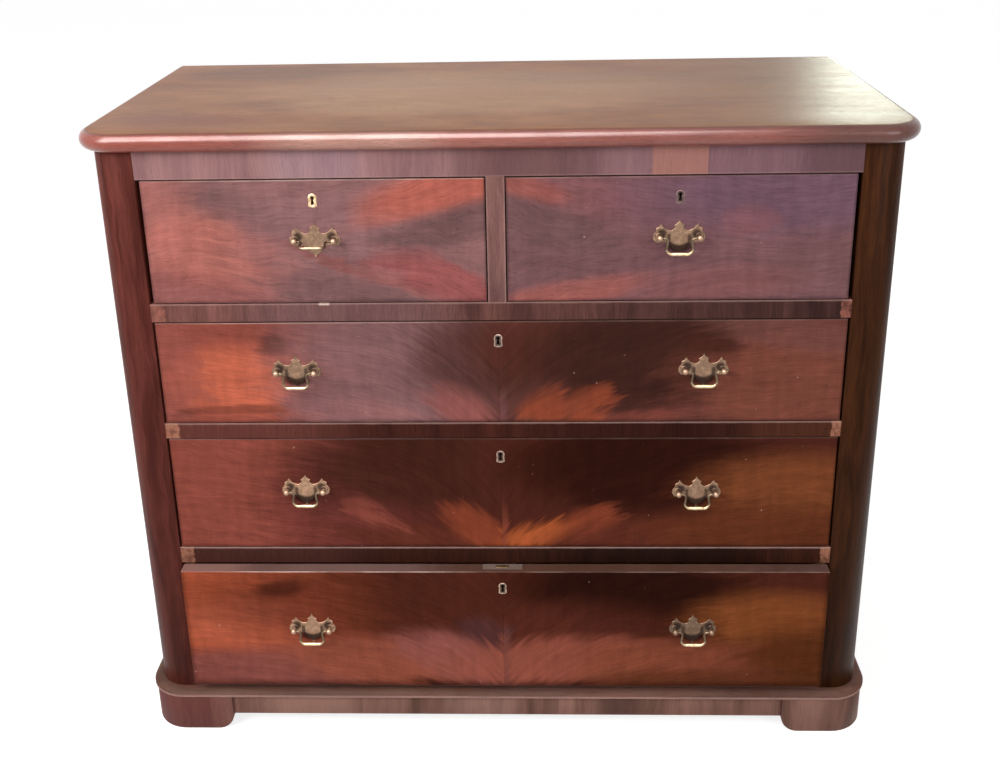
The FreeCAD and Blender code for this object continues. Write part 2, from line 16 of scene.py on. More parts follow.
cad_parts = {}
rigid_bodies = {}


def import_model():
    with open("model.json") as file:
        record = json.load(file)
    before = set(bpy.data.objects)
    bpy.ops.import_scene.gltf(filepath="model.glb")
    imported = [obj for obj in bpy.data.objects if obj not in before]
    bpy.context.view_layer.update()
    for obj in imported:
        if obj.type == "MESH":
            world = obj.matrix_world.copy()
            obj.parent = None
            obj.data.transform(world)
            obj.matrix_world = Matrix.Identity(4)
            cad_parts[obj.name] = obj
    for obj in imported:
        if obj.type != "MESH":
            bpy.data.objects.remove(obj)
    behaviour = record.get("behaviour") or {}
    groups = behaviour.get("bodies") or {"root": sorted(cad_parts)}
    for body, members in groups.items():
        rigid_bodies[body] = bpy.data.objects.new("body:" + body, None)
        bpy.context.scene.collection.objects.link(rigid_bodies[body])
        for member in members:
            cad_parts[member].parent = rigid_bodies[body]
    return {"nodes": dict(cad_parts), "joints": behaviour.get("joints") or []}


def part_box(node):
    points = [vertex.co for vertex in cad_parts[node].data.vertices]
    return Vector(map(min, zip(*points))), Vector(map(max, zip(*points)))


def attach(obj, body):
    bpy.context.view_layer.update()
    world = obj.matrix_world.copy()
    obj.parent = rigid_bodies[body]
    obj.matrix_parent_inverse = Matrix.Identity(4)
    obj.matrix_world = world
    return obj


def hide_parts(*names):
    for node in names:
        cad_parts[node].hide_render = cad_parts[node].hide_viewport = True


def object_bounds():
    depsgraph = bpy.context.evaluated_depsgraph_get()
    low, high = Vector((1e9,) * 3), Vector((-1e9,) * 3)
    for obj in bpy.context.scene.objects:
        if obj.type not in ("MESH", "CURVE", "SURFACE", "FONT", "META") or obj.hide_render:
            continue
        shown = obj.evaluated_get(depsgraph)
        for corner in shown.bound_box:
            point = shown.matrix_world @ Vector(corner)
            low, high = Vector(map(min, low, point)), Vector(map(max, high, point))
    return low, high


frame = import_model()
cad_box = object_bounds()
solids = frame["nodes"]
swings = {joint["child"]: joint for joint in frame["joints"] if joint["type"] == "hinge"}
DRAWERS = ("short_left", "short_right", "upper_long", "middle_long", "lower_long")
MM = 0.001

# %% [markdown]
# ## The camera
# The photograph was taken by hand, from a little above the top, and later cropped.
# A camera can be put by eye, but a fit to the corners of the drawers is exact. The fit
# gave a height, three small angles, and a picture centre above the middle of the
# crop. That last one is what Blender calls shift: the frame slides, the angle stays.

# %% Stand the camera where the photograph was taken
PICTURE_WIDTH = 1000
PICTURE_HEIGHT = 768
FOCAL_PIXELS = 1174.39
CENTRE_ACROSS = 493.45
CENTRE_DOWN = 260.0
SENSOR_MM = 36.0
EYE = (0.05612, -1.88137, 1.41563)
pitch = math.radians(19.425)
yaw = math.radians(-2.132)
roll = math.radians(-1.195)
forward = Vector((math.sin(yaw) * math.cos(pitch), math.cos(yaw) * math.cos(pitch), -math.sin(pitch)))
level = Vector((math.cos(yaw), -math.sin(yaw), 0))
upright = level.cross(forward)
right = math.cos(roll) * level + math.sin(roll) * upright
above = -math.sin(roll) * level + math.cos(roll) * upright
stand = Matrix((right, above, -forward)).transposed().to_4x4()
stand.translation = Vector(EYE)

camera_data = bpy.data.cameras.new("photo_camera")
camera_data.sensor_width = SENSOR_MM
camera_data.sensor_fit = "HORIZONTAL"
camera_data.lens = FOCAL_PIXELS * SENSOR_MM / PICTURE_WIDTH
camera_data.shift_x = (PICTURE_WIDTH / 2 - CENTRE_ACROSS) / PICTURE_WIDTH
camera_data.shift_y = (CENTRE_DOWN - PICTURE_HEIGHT / 2) / PICTURE_WIDTH
camera_data.clip_start = 0.05
camera_data.clip_end = 200
camera = bpy.data.objects.new("photo_camera", camera_data)
camera.matrix_world = stand
bpy.context.scene.collection.objects.link(camera)
bpy.context.scene.camera = camera
bpy.context.scene.view_settings.view_transform = "Standard"
print("lens", round(camera_data.lens, 2), "mm, shift up", round(camera_data.shift_y, 4))

# %% [markdown]
# ## A short way to write node trees
# Every finish here is a tree of shader nodes. Written out in full, a tree is mostly
# lines that make nodes and join sockets. A small bench keeps that in one place: a
# socket that is handed in gets a link, and a plain number is set on the input itself.

# %% A bench for node trees
class Bench:
    """A node tree, with short calls for the nodes that the finishes are made of."""

    def __init__(self, tree):
        self.tree = tree

    def add(self, kind, **settings):
        node = self.tree.nodes.new(kind)
        for key, value in settings.items():
            setattr(node, key, value)
        return node

    def feed(self, socket, value):
        if isinstance(value, bpy.types.NodeSocket):
            self.tree.links.new(value, socket)
        elif value is not None:
            socket.default_value = value

    def run(self, node, values, output=0):
        """Feed a node's inputs in turn and give one of its outputs."""
        for socket, value in zip(node.inputs, values):
            self.feed(socket, value)
        return node.outputs[output]

    def math(self, operation, *values, clamp=False):
        return self.run(self.add("ShaderNodeMath", operation=operation, use_clamp=clamp), values)

    def times(self, first, *others):
        for value in others:
            first = self.math("MULTIPLY", first, value)
        return first

    def less(self, value, taken, clamp=False):
        return self.math("SUBTRACT", value, taken, clamp=clamp)

    def scaled(self, value, factor, plus):
        """A value times a factor, plus another value."""
        return self.math("MULTIPLY_ADD", value, factor, plus)

    def gap(self, value, mark=0.0):
        """How far a value is from a mark, on either side."""
        return self.math("ABSOLUTE", self.less(value, mark))

    def vector(self, operation, *values):
        output = "Value" if operation == "LENGTH" else "Vector"
        return self.run(self.add("ShaderNodeVectorMath", operation=operation), values, output)

    def join(self, *values):
        return self.run(self.add("ShaderNodeCombineXYZ"), values)

    def split(self, vector):
        node = self.add("ShaderNodeSeparateXYZ")
        self.feed(node.inputs[0], vector)
        return list(node.outputs)

    def mix(self, share, first, second, blend="MIX"):
        node = self.add("ShaderNodeMix", data_type="RGBA", blend_type=blend)
        for index, value in zip((0, 6, 7), (share, first, second)):
            self.feed(node.inputs[index], value)
        return node.outputs[2]

    def shade(self, colour, level):
        """A colour made darker or lighter by a level."""
        return self.mix(1.0, colour, self.join(level, level, level), "MULTIPLY")

    def remap(self, value, low, high, to_low=0.0, to_high=1.0, smooth=True):
        node = self.add("ShaderNodeMapRange", interpolation_type="SMOOTHSTEP" if smooth else "LINEAR")
        return self.run(node, (value, low, high, to_low, to_high))

    def noise(self, vector, scale, detail=3.0, rough=0.55, bend=0.0):
        node = self.add("ShaderNodeTexNoise")
        self.feed(node.inputs["Vector"], vector)
        for key, value in (("Scale", scale), ("Detail", detail), ("Roughness", rough), ("Distortion", bend)):
            self.feed(node.inputs[key], value)
        return node.outputs["Fac"]

    def mapping(self, vector, place=(0, 0, 0), turn=(0, 0, 0), size=(1, 1, 1), kind="POINT"):
        return self.run(self.add("ShaderNodeMapping", vector_type=kind), (vector, place, turn, size))

    def spot(self):
        """A point of the piece itself, in metres, which stays with it when it moves."""
        return self.add("ShaderNodeTexCoord").outputs["Object"]

    def facing(self):
        """The way a face of the piece looks, in the piece's own axes."""
        return self.add("ShaderNodeTexCoord").outputs["Normal"]

    def along_x(self):
        return self.split(self.spot())[0]

    def looks_up(self):
        return self.split(self.facing())[2]

    def use(self, group, **inputs):
        node = self.add("ShaderNodeGroup", node_tree=group)
        for key, value in inputs.items():
            self.feed(node.inputs[key.replace("_", " ")], value)
        return node.outputs


def tone(red, green, blue):
    """A colour as a picture shows it, from 0 to 255, made linear for a shader."""
    linear = []
    for value in (red, green, blue):
        share = value / 255
        linear.append(share / 12.92 if share <= 0.04045 else ((share + 0.055) / 1.055) ** 2.4)
    return (*linear, 1.0)


print("bench ready")

# %% [markdown]
# ## Starting a finish
# Every material starts alike: a tree with one Principled shader and the output. The
# numbers that don't change over the surface are set on the shader's own inputs.

# %% A start for every finish
BUMP_STRENGTH = 0.6


def finish(name, rough, shine, metal=0.0):
    """A new material with its bench and its shader."""
    material = bpy.data.materials.new(name)
    material.use_nodes = True
    shader = material.node_tree.nodes["Principled BSDF"]
    shader.inputs["Roughness"].default_value = rough
    shader.inputs["Specular IOR Level"].default_value = shine
    shader.inputs["Metallic"].default_value = metal
    return material, Bench(material.node_tree), shader


def raise_grain(bench, shader, height, depth):
    """Let a height mask tilt the surface, as open grain does."""
    bump = bench.add("ShaderNodeBump")
    bump.inputs["Distance"].default_value = depth
    bump.inputs["Strength"].default_value = BUMP_STRENGTH
    bench.feed(bump.inputs["Height"], height)
    bench.feed(shader.inputs["Normal"], bump.outputs[0])


print("finishes can start")

# %% [markdown]
# ## Floor, world and lamps
# The photograph shows the chest on plain white. The floor is a pale surface that
# takes the shadow. What a lens, a reflection or glass sees of the floor and the world is
# lifted to white with Light Path, so the background is white without more light on the
# wood. A large soft lamp stands up and to the left, where the windows were, and a weaker
# one on the right. A panel overhead shows only in what shines, and draws the long
# highlight on the rounded edge of the top. A small panel behind on the right gives the
# top its bright reflection.

# %% Lay the floor and hang the lamps
FLOOR_HALF = 40.0
FLOOR_LIFT = 0.77
AMBIENT = 0.42


def seen_directly(bench):
    """1 for rays from the lens, from a reflection or through glass."""
    path = bench.add("ShaderNodeLightPath").outputs
    lens_or_gloss = bench.math("MAXIMUM", path["Is Camera Ray"], path["Is Glossy Ray"])
    return bench.math("MAXIMUM", lens_or_gloss, path["Is Transmission Ray"])


floor_mesh = bpy.data.meshes.new("floor")
ways = ((-1, -1), (1, -1), (1, 1), (-1, 1))
corners = [(x * FLOOR_HALF, y * FLOOR_HALF, cad_box[0][2]) for x, y in ways]
floor_mesh.from_pydata(corners, [], [(0, 1, 2, 3)])
floor = bpy.data.objects.new("floor", floor_mesh)
bpy.context.scene.collection.objects.link(floor)
floor_paint, bench, shader = finish("floor_paint", 0.9, 0.0)
shader.inputs["Base Color"].default_value = (0.52, 0.52, 0.52, 1)
shader.inputs["Emission Color"].default_value = (1, 1, 1, 1)
bench.feed(shader.inputs["Emission Strength"], bench.times(seen_directly(bench), FLOOR_LIFT))
floor_mesh.materials.append(floor_paint)

world = bpy.data.worlds.new("studio")
world.use_nodes = True
bpy.context.scene.world = world
bench = Bench(world.node_tree)
backdrop = world.node_tree.nodes["Background"]
backdrop.inputs["Color"].default_value = (1, 1, 1, 1)
bench.feed(backdrop.inputs["Strength"], bench.remap(seen_directly(bench), 0, 1, AMBIENT, 1.0, smooth=False))


def lamp(name, place, aim, width, height, watts):
    """A soft panel of light that looks at a point and isn't itself in the picture."""
    data = bpy.data.lights.new(name, "AREA")
    data.shape = "RECTANGLE"
    data.size = width
    data.size_y = height
    data.energy = watts
    panel = bpy.data.objects.new(name, data)
    panel.location = place
    panel.rotation_euler = (Vector(aim) - Vector(place)).to_track_quat("-Z", "Y").to_euler()
    panel.visible_camera = False
    bpy.context.scene.collection.objects.link(panel)
    return panel


lamp("window_lamp", (-2.3, -2.3, 2.5), (-0.2, -0.25, 0.62), 1.6, 1.6, 82)
lamp("room_lamp", (2.4, -2.8, 1.9), (0.1, -0.25, 0.5), 1.8, 1.8, 36)
ceiling_strip = lamp("ceiling_strip", (-0.75, -1.50, 2.7), (-0.5, -0.6, 1.03), 2.6, 2.0, 190)
ceiling_strip.visible_diffuse = False
far_window = lamp("far_window", (1.53, 3.0, 1.69), (0.5, 0.0, 1.04), 0.4, 0.4, 10.6)
far_window.data.color = (0.88, 1.0, 0.84)

# %% [markdown]
# ## Wood grain as a node group
# Grain shows at several sizes at once: broad streaks of darker growth, fine fibres, and
# pores that are open dashes. All three are noise that is stretched along the board. Many
# finishes need them, so they are one group. It takes a point whose X runs along the grain.

# %% Build the grain group
def new_group(name, inputs, *outputs):
    """A shader node group; an input is a number with its first value, or a vector where that is None."""
    tree = bpy.data.node_groups.new(name, "ShaderNodeTree")
    for label, value in inputs.items():
        kind = "NodeSocketVector" if value is None else "NodeSocketFloat"
        socket = tree.interface.new_socket(label, in_out="INPUT", socket_type=kind)
        if value is not None:
            socket.default_value = value
    for label in outputs:
        tree.interface.new_socket(label, in_out="OUTPUT", socket_type="NodeSocketFloat")
    bench = Bench(tree)
    return tree, bench, bench.add("NodeGroupInput").outputs, bench.add("NodeGroupOutput").inputs


grain_inputs = {"Spot": None, "Streak Count": 45.0, "Stretch": 0.1}
grain_group, bench, given, put_out = new_group("wood_grain", grain_inputs, "Streaks", "Fibres", "Pores")
along, across, deep = bench.split(given["Spot"])
slow = bench.times(along, given["Stretch"])
wander = bench.scaled(bench.noise(given["Spot"], 9.0, 2.0), 0.02, across)
plane = bench.join(slow, wander, deep)
bench.feed(put_out["Streaks"], bench.noise(plane, given["Streak Count"], 4.0, 0.6, 0.4))
fine_plane = bench.join(bench.times(slow, 0.35), wander, deep)
bench.feed(put_out["Fibres"], bench.noise(fine_plane, 620.0, 2.0, 0.6))
pore_plane = bench.join(bench.times(slow, 0.8), wander, deep)
bench.feed(put_out["Pores"], bench.remap(bench.noise(pore_plane, 1150.0, 1.0, 0.4), 0.62, 0.75))
print(grain_group.name, "has", len(grain_group.nodes), "nodes")

# %% [markdown]
# ## Wear on the edges
# Polish goes first where hands and dusters rub: on the arrises. A point lies near an
# edge of a board when two of its three distances to the faces of the board's box are small,
# that is, when the middle one of the three is small. Noise breaks the line up.

# %% Build the edge wear group
LEAST_REACH = 0.00001
wear_inputs = {"Spot": None, "Low": None, "High": None, "Reach": 0.003, "Ragged": 0.6}
wear_group, bench, given, put_out = new_group("edge_wear", wear_inputs, "Wear")
from_low = bench.vector("ABSOLUTE", bench.vector("SUBTRACT", given["Spot"], given["Low"]))
from_high = bench.vector("ABSOLUTE", bench.vector("SUBTRACT", given["High"], given["Spot"]))
gap_x, gap_y, gap_z = bench.split(bench.vector("MINIMUM", from_low, from_high))
least_xy = bench.math("MINIMUM", gap_x, gap_y)
most_xy = bench.math("MAXIMUM", gap_x, gap_y)
middle_gap = bench.math("MAXIMUM", least_xy, bench.math("MINIMUM", most_xy, gap_z))
breaks = bench.less(bench.noise(given["Spot"], 34.0, 4.0, 0.65), 0.5)
reach = bench.times(bench.scaled(breaks, given["Ragged"], 0.5), 2.0, given["Reach"])
share = bench.math("DIVIDE", middle_gap, bench.math("MAXIMUM", reach, LEAST_REACH))
bench.feed(put_out["Wear"], bench.less(1.0, share, clamp=True))
print(wear_group.name, "has", len(wear_group.nodes), "nodes")

# %% [markdown]
# ## Dust and scratches
# Dust settles on what looks up and in what is left alone. Scratches in polish are thin pale
# lines that run mostly with the grain: the contour line of a drawn-out noise is such a
# line, and a second noise leaves only a few of them.

# %% Build the dust and scratch groups
dust_inputs = {"Spot": None, "Facing": None, "Amount": 0.5}
dust_group, bench, given, put_out = new_group("dust", dust_inputs, "Dust")
upward = bench.remap(bench.split(given["Facing"])[2], 0.35, 0.95)
patchy = bench.remap(bench.noise(given["Spot"], 22.0, 4.0, 0.6), 0.25, 0.75, 0.35, 1.0)
bench.feed(put_out["Dust"], bench.times(upward, patchy, given["Amount"]))

scratch_inputs = {"Spot": None, "Width": 0.004, "Share": 0.5}
scratch_group, bench, given, put_out = new_group("scratches", scratch_inputs, "Scratch")
drawn_out = bench.mapping(given["Spot"], size=(0.12, 1.0, 1.0))
contour = bench.gap(bench.noise(drawn_out, 16.0, 1.0, 0.4), 0.5)
line = bench.less(1.0, bench.math("DIVIDE", contour, given["Width"]), clamp=True)
few = bench.remap(bench.noise(given["Spot"], 13.0, 2.0), given["Share"], 0.72)
bench.feed(put_out["Scratch"], bench.times(line, few))
print(dust_group.name, "and", scratch_group.name, "ready")

# %% [markdown]
# ## One soft patch of tone
# Flame veneer isn't an even pattern. Each leaf has bright plumes and dark hollows where the
# trunk forked, so the figure is laid in from listed patches, as a polisher would tint it: soft
# patches with a place, a size and a tilt. The group turns one patch into a mask. Rails and
# edges use the same patches, laid along their length.

# %% Build the patch group
SOFT_REACH = 1.6
patch_inputs = {"Spot": None, "Place": None, "Size": None, "Tilt": None, "Strength": 1.0}
patch_group, bench, given, put_out = new_group("veneer_patch", patch_inputs, "Mask")
ball = bench.add("ShaderNodeTexGradient", gradient_type="SPHERICAL")
laid = bench.mapping(given["Spot"], given["Place"], given["Tilt"], given["Size"], "TEXTURE")
bench.feed(ball.inputs[0], laid)
bench.feed(put_out["Mask"], bench.times(bench.remap(ball.outputs["Fac"], 0.0, 0.62), given["Strength"]))


def patch(bench, spot, place, half, strength, tilt=0.0):
    """A soft mask about a place; it has faded out at 1.6 times its half size."""
    size = tuple(SOFT_REACH * value for value in half)
    return bench.use(patch_group, Spot=spot, Place=tuple(place), Size=size, Tilt=(0, 0, tilt),
                     Strength=strength)["Mask"]


def lengthwise(bench, colour, patches):
    """Soft changes of tone along X; a patch is (x, half length, colour, strength) in metres."""
    spot = bench.join(bench.along_x(), 0.0, 0.0)
    for x, half, paint, strength in patches:
        colour = bench.mix(patch(bench, spot, (x, 0, 0), (half, 1, 1), strength), colour, paint)
    return colour


print(patch_group.name, "ready")

# %% [markdown]
# ## Plain boards
# The case, the rails and the insides are plain boards: two tones of one wood mixed by
# the grain, darker pores, wear on the arrises and dust on top. One function makes
# them all, and each board says which way its grain runs.

# %% A board finish
# The grain runs along one axis. Front and side say where the broad face looks, if not up.
GRAIN_TURNS = {
    "x": (0, 0, 0), "x_front": (math.pi / 2, 0, 0),
    "y": (0, 0, math.pi / 2), "y_side": (0, -math.pi / 2, -math.pi / 2),
    "z_side": (0, math.pi / 2, 0), "z_front": (math.pi / 2, 0, math.pi / 2),
}
EDGE = tone(196, 156, 146)
DUST = tone(140, 118, 108)
BOARD_GRAIN_DEPTH = 0.0004


def board(name, node, grain, dark, light, rough, shine, streaks=45.0, fine=1.0, wear=0.0, worn=EDGE,
          sheltered=False, scratch=0.0, dust=0.0, dirt=DUST, tint=None, polish=None, crosswise=None):
    """The finish of one board; crosswise is the grain of faces that look along Y, where it differs.

    A board with sheltered leaves its lower arris plain, so that only the upper one is paled, partly as wear
    and partly as a painted highlight.
    """
    material, bench, shader = finish(name, rough, shine)
    spot = bench.spot()
    turned = bench.mapping(spot, turn=GRAIN_TURNS[grain])
    if crosswise:
        faces_y = bench.math("GREATER_THAN", bench.gap(bench.split(bench.facing())[1]), 0.7)
        turned = bench.mix(faces_y, turned, bench.mapping(spot, turn=GRAIN_TURNS[crosswise]))
    wood = bench.use(grain_group, Spot=turned, Streak_Count=streaks)
    colour = bench.mix(bench.remap(wood["Streaks"], 0.30, 0.70), dark, light)
    if tint:
        colour = tint(bench, colour)
    fibres = bench.remap(wood["Fibres"], 0.25, 0.75, 1 - 0.17 * fine, 1 + 0.14 * fine)
    colour = bench.shade(colour, bench.times(fibres, bench.scaled(wood["Pores"], -0.35 * fine, 1.0)))
    if scratch:
        lines = bench.use(scratch_group, Spot=spot, Share=0.45)["Scratch"]
        colour = bench.mix(bench.times(lines, scratch), colour, worn)
    if wear:
        low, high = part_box(node)
        # Only the upper arris is paled: partly wear, partly a painted highlight.
        if sheltered:
            low = low - Vector((0, 0, 1))
        edge = bench.use(wear_group, Spot=spot, Low=low, High=high)["Wear"]
        colour = bench.mix(bench.times(edge, wear), colour, worn)
    roughness = bench.scaled(wood["Streaks"], 0.14, rough - 0.07)
    if polish:
        roughness = polish(bench, roughness)
    if dust:
        settled = bench.use(dust_group, Spot=spot, Facing=bench.facing(), Amount=dust)["Dust"]
        colour = bench.mix(settled, colour, dirt)
        roughness = bench.scaled(settled, 0.3, roughness)
    bench.feed(shader.inputs["Base Color"], colour)
    bench.feed(shader.inputs["Roughness"], roughness)
    raise_grain(bench, shader, bench.scaled(wood["Pores"], -0.6, wood["Fibres"]), BOARD_GRAIN_DEPTH)
    return material


print("board finishes can be made")

# %% [markdown]
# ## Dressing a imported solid
# No real arris is a perfect line. A narrow bevel gives each one a thread of light. The
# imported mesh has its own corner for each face, so a weld joins them first.

# %% Dress a solid
WELD = 0.00001
ARRIS = 0.0007
SOFTEN_ABOVE = math.radians(40)


def dress(node, material, curved=False):
    """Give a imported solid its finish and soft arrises; a curved one is shaded smooth."""
    solid = solids[node]
    solid.data.materials.clear()
    solid.data.materials.append(material)
    if curved:
        solid.data.shade_smooth()
    else:
        solid.data.shade_flat()
    weld = solid.modifiers.new("weld", "WELD")
    weld.merge_threshold = WELD
    soften = solid.modifiers.new("soften", "BEVEL")
    soften.width = ARRIS
    soften.segments = 2
    soften.limit_method = "ANGLE"
    soften.angle_limit = SOFTEN_ABOVE
    soften.use_clamp_overlap = False
    soften.harden_normals = True


def dress_board(node, grain, dark, light, rough, shine, curved=False, **more):
    """Dress one packed board in a finish of its own."""
    dress(node, board(node + "_finish", node, grain, dark, light, rough, shine, **more), curved)


print("boards can be dressed")

# %% [markdown]
# ## The flow of the veneer
# Each long front carries two leaves of veneer, opened like a book at the middle, so the
# streaks mirror there. The two short fronts are matched about the upright between
# them. Streaks follow lines that lie level at the ends and sweep towards the middle. A
# formula gives that sweep: its value, the flow, stays the same all along one streak.

# %% Let the streaks flow
SWEEP_REACH = 0.15


class Leaf:
    """The streaks of one front, and noises that are drawn out along them."""

    def __init__(self, bench, middle, sweep, spread):
        self.spot = bench.spot()
        place = bench.split(self.spot)
        self.x = place[0]
        self.z = place[2]
        self.up = bench.less(self.z, middle[2])
        self.out = bench.gap(self.x)
        self.fade = bench.math("EXPONENT", bench.math("DIVIDE", self.out, -SWEEP_REACH))
        swept = bench.scaled(self.fade, sweep, self.up)
        flow = bench.math("DIVIDE", swept, bench.scaled(self.fade, spread, 1.0))
        self.drift = bench.noise(self.spot, 5.0, 2.0, 0.45)
        self.flow = bench.scaled(self.drift, 0.05, flow)
        on_leaf = bench.join(self.out, self.flow, middle[0])
        self.wood = bench.use(grain_group, Spot=on_leaf, Streak_Count=75.0, Stretch=0.13)
        self.streak = bench.less(self.wood["Streaks"], 0.5)

        def drawn(out, flow, scale, detail):
            return bench.noise(bench.join(out, flow, middle[0]), scale, detail, 0.6)

        self.broad = drawn(bench.times(self.out, 0.3), self.flow, 26.0, 3.0)
        self.hair = drawn(bench.times(self.out, 0.12), self.flow, 260.0, 2.0)
        self.curl = drawn(self.out, bench.times(self.flow, 0.3), 55.0, 3.0)
        lean = bench.scaled(self.flow, -spread / SWEEP_REACH, sweep / SWEEP_REACH)
        sideways = bench.math("SIGN", self.x)
        self.heading = bench.vector("NORMALIZE", bench.join(sideways, bench.times(lean, self.fade), 0.0))


print("streaks can flow")

# %% [markdown]
# ## Figure and grain of a front
# The patches of tone are pulled along the streaks by noise, so that their ends break into
# fingers, as real plumes do. A long front also has the joint between its leaves: a dark line,
# with a paler strip beside it. The grain then darkens and lightens all of it, and the bottom
# and the ends are darker, partly as dirt and partly as painted shade of the gaps round the front.

# %% Lay the figure
SEAM = tone(48, 24, 20)


def lay_patches(bench, leaf, middle, base, patches):
    """A front's patches; a patch is (x, z, half length, half height, tilt, colour, strength) in mm."""
    fingers = bench.times(bench.less(leaf.broad, 0.5), 0.15)
    fingers = bench.scaled(leaf.streak, 0.09, fingers)
    fingers = bench.scaled(bench.less(leaf.hair, 0.5), 0.03, fingers)
    fingers = bench.times(fingers, bench.remap(leaf.up, -0.02, 0.04, 1.0, 0.4))
    slide = bench.vector("MULTIPLY", leaf.heading, bench.join(fingers, fingers, fingers))
    laid = bench.vector("ADD", bench.join(bench.less(leaf.x, middle[0]), leaf.up, 0.0), slide)
    colour = base
    for x, z, half, rise, tilt, paint, strength in patches:
        size = (half * MM, rise * MM, 1)
        mask = patch(bench, laid, (x * MM, z * MM, 0), size, strength, math.radians(tilt))
        colour = bench.mix(mask, colour, paint)
    return colour


def lay_seam(bench, leaf, colour, paint, strength, reach_up):
    """The joint between two leaves, and a ragged strip of another tone to the right of it."""
    wavy = bench.scaled(bench.noise(leaf.spot, 40.0, 3.0, 0.6), 0.014, leaf.x)
    beside = bench.times(bench.remap(leaf.x, 0.0, 0.0015), bench.remap(wavy, 0.012, 0.022, 1.0, 0.0))
    height = bench.remap(leaf.up, reach_up * MM - 0.06, reach_up * MM, strength, 0.0)
    colour = bench.mix(bench.times(beside, height), colour, paint)
    return bench.mix(bench.remap(leaf.out, 0.0, 0.0012, 0.3, 0.0), colour, SEAM)


def grain_level(bench, leaf, low, high, dirt):
    """How light the grain leaves a point; dirt is how far the darkening reaches in from the rim, which is
    partly dirt and partly painted shade of the gaps.
    """
    beside = bench.less((high[0] - low[0]) / 2, bench.gap(leaf.x, (low[0] + high[0]) / 2))
    rim_gap = bench.math("MINIMUM", bench.less(leaf.z, low[2]), bench.times(beside, 1.5))
    return bench.times(
        bench.scaled(leaf.streak, 0.68, 1.0),
        bench.remap(leaf.curl, 0.25, 0.75, 0.90, 1.10),
        bench.remap(leaf.hair, 0.25, 0.75, 0.93, 1.07),
        bench.remap(leaf.wood["Fibres"], 0.25, 0.75, 0.90, 1.10),
        bench.scaled(leaf.wood["Pores"], -0.25, 1.0),
        # Darker at the rim: partly dirt and partly painted shade of the gaps round the front.
        bench.remap(rim_gap, 0.0, bench.times(leaf.broad, 2 * dirt), 0.55, 1.0),
    )


print("figure can be laid")

# %% [markdown]
# ## A veneered front
# Marks of use come last, and painted light with them. A painted shadow darkens the wood behind
# each bail that hangs down. A few pale nicks are scattered over the front, and the upper arris
# is paled, partly as rubbed polish and partly as a painted highlight.
# Only the face is veneered: the other sides of a front show its plain core.

# %% A veneer finish
RAISED = {"short_left_bail": math.radians(85)}
# The tone, drop and size of the painted shadow behind each hanging bail.
BAIL_SHADOW = tone(36, 18, 15)
BAIL_SHADOW_DROP = Vector((0, 0, 0.0165))
BAIL_SHADOW_HALF = (0.01875, 0.625, 0.008125)
# The pale upper arris of a front: rubbed polish and a painted highlight.
RUBBED_HIGHLIGHT = tone(226, 192, 180)
RUB_DEPTH = 0.0022
CORE_DARK = tone(82, 54, 46)
CORE_LIGHT = tone(106, 74, 64)
CORE_DUST = tone(132, 106, 102)
CORE_TONES = (
    (-0.50, 0.08, tone(162, 122, 112), 0.75), (-0.24, 0.12, tone(138, 106, 100), 0.7),
    (0.16, 0.24, tone(94, 62, 46), 0.65),
)
VENEER_ROUGH = 0.34
VENEER_GRAIN_DEPTH = 0.0002


def mark_wear_and_light(bench, leaf, colour, drawer, top, rub):
    """Painted shadow behind the bails, nicks, and the upper arris paled as rubbed polish and painted
    highlight; rub is its share and where along X it starts and ends.
    """
    for bail, joint in swings.items():
        if joint["parent"] == drawer + "_drawer" and bail not in RAISED:
            behind = Vector(joint["pos_m"]) - BAIL_SHADOW_DROP
            # A painted shadow on the wood behind the hanging bail.
            colour = bench.mix(patch(bench, leaf.spot, behind, BAIL_SHADOW_HALF, 0.85), colour, BAIL_SHADOW)
    nicks = bench.remap(bench.noise(leaf.spot, 85.0, 2.0, 0.5), 0.765, 0.80, 0.0, 0.5)
    colour = bench.mix(nicks, colour, EDGE)
    # The upper arris is paled, partly as rubbed polish and partly as a painted highlight.
    crown = bench.less(1.0, bench.math("DIVIDE", bench.less(top, leaf.z), RUB_DEPTH), clamp=True)
    share, start, end = rub
    after_start = bench.remap(leaf.x, start - 0.05, start + 0.05)
    before_end = bench.remap(leaf.x, end - 0.05, end + 0.05, 1.0, 0.0)
    held = bench.remap(bench.times(after_start, before_end), 0, 1, 0.25, 1.0)
    broken = bench.remap(bench.noise(leaf.spot, 14.0, 5.0, 0.65), 0.35, 0.60, 0.35, 1.0)
    return bench.mix(bench.times(crown, broken, held, share), colour, RUBBED_HIGHLIGHT)


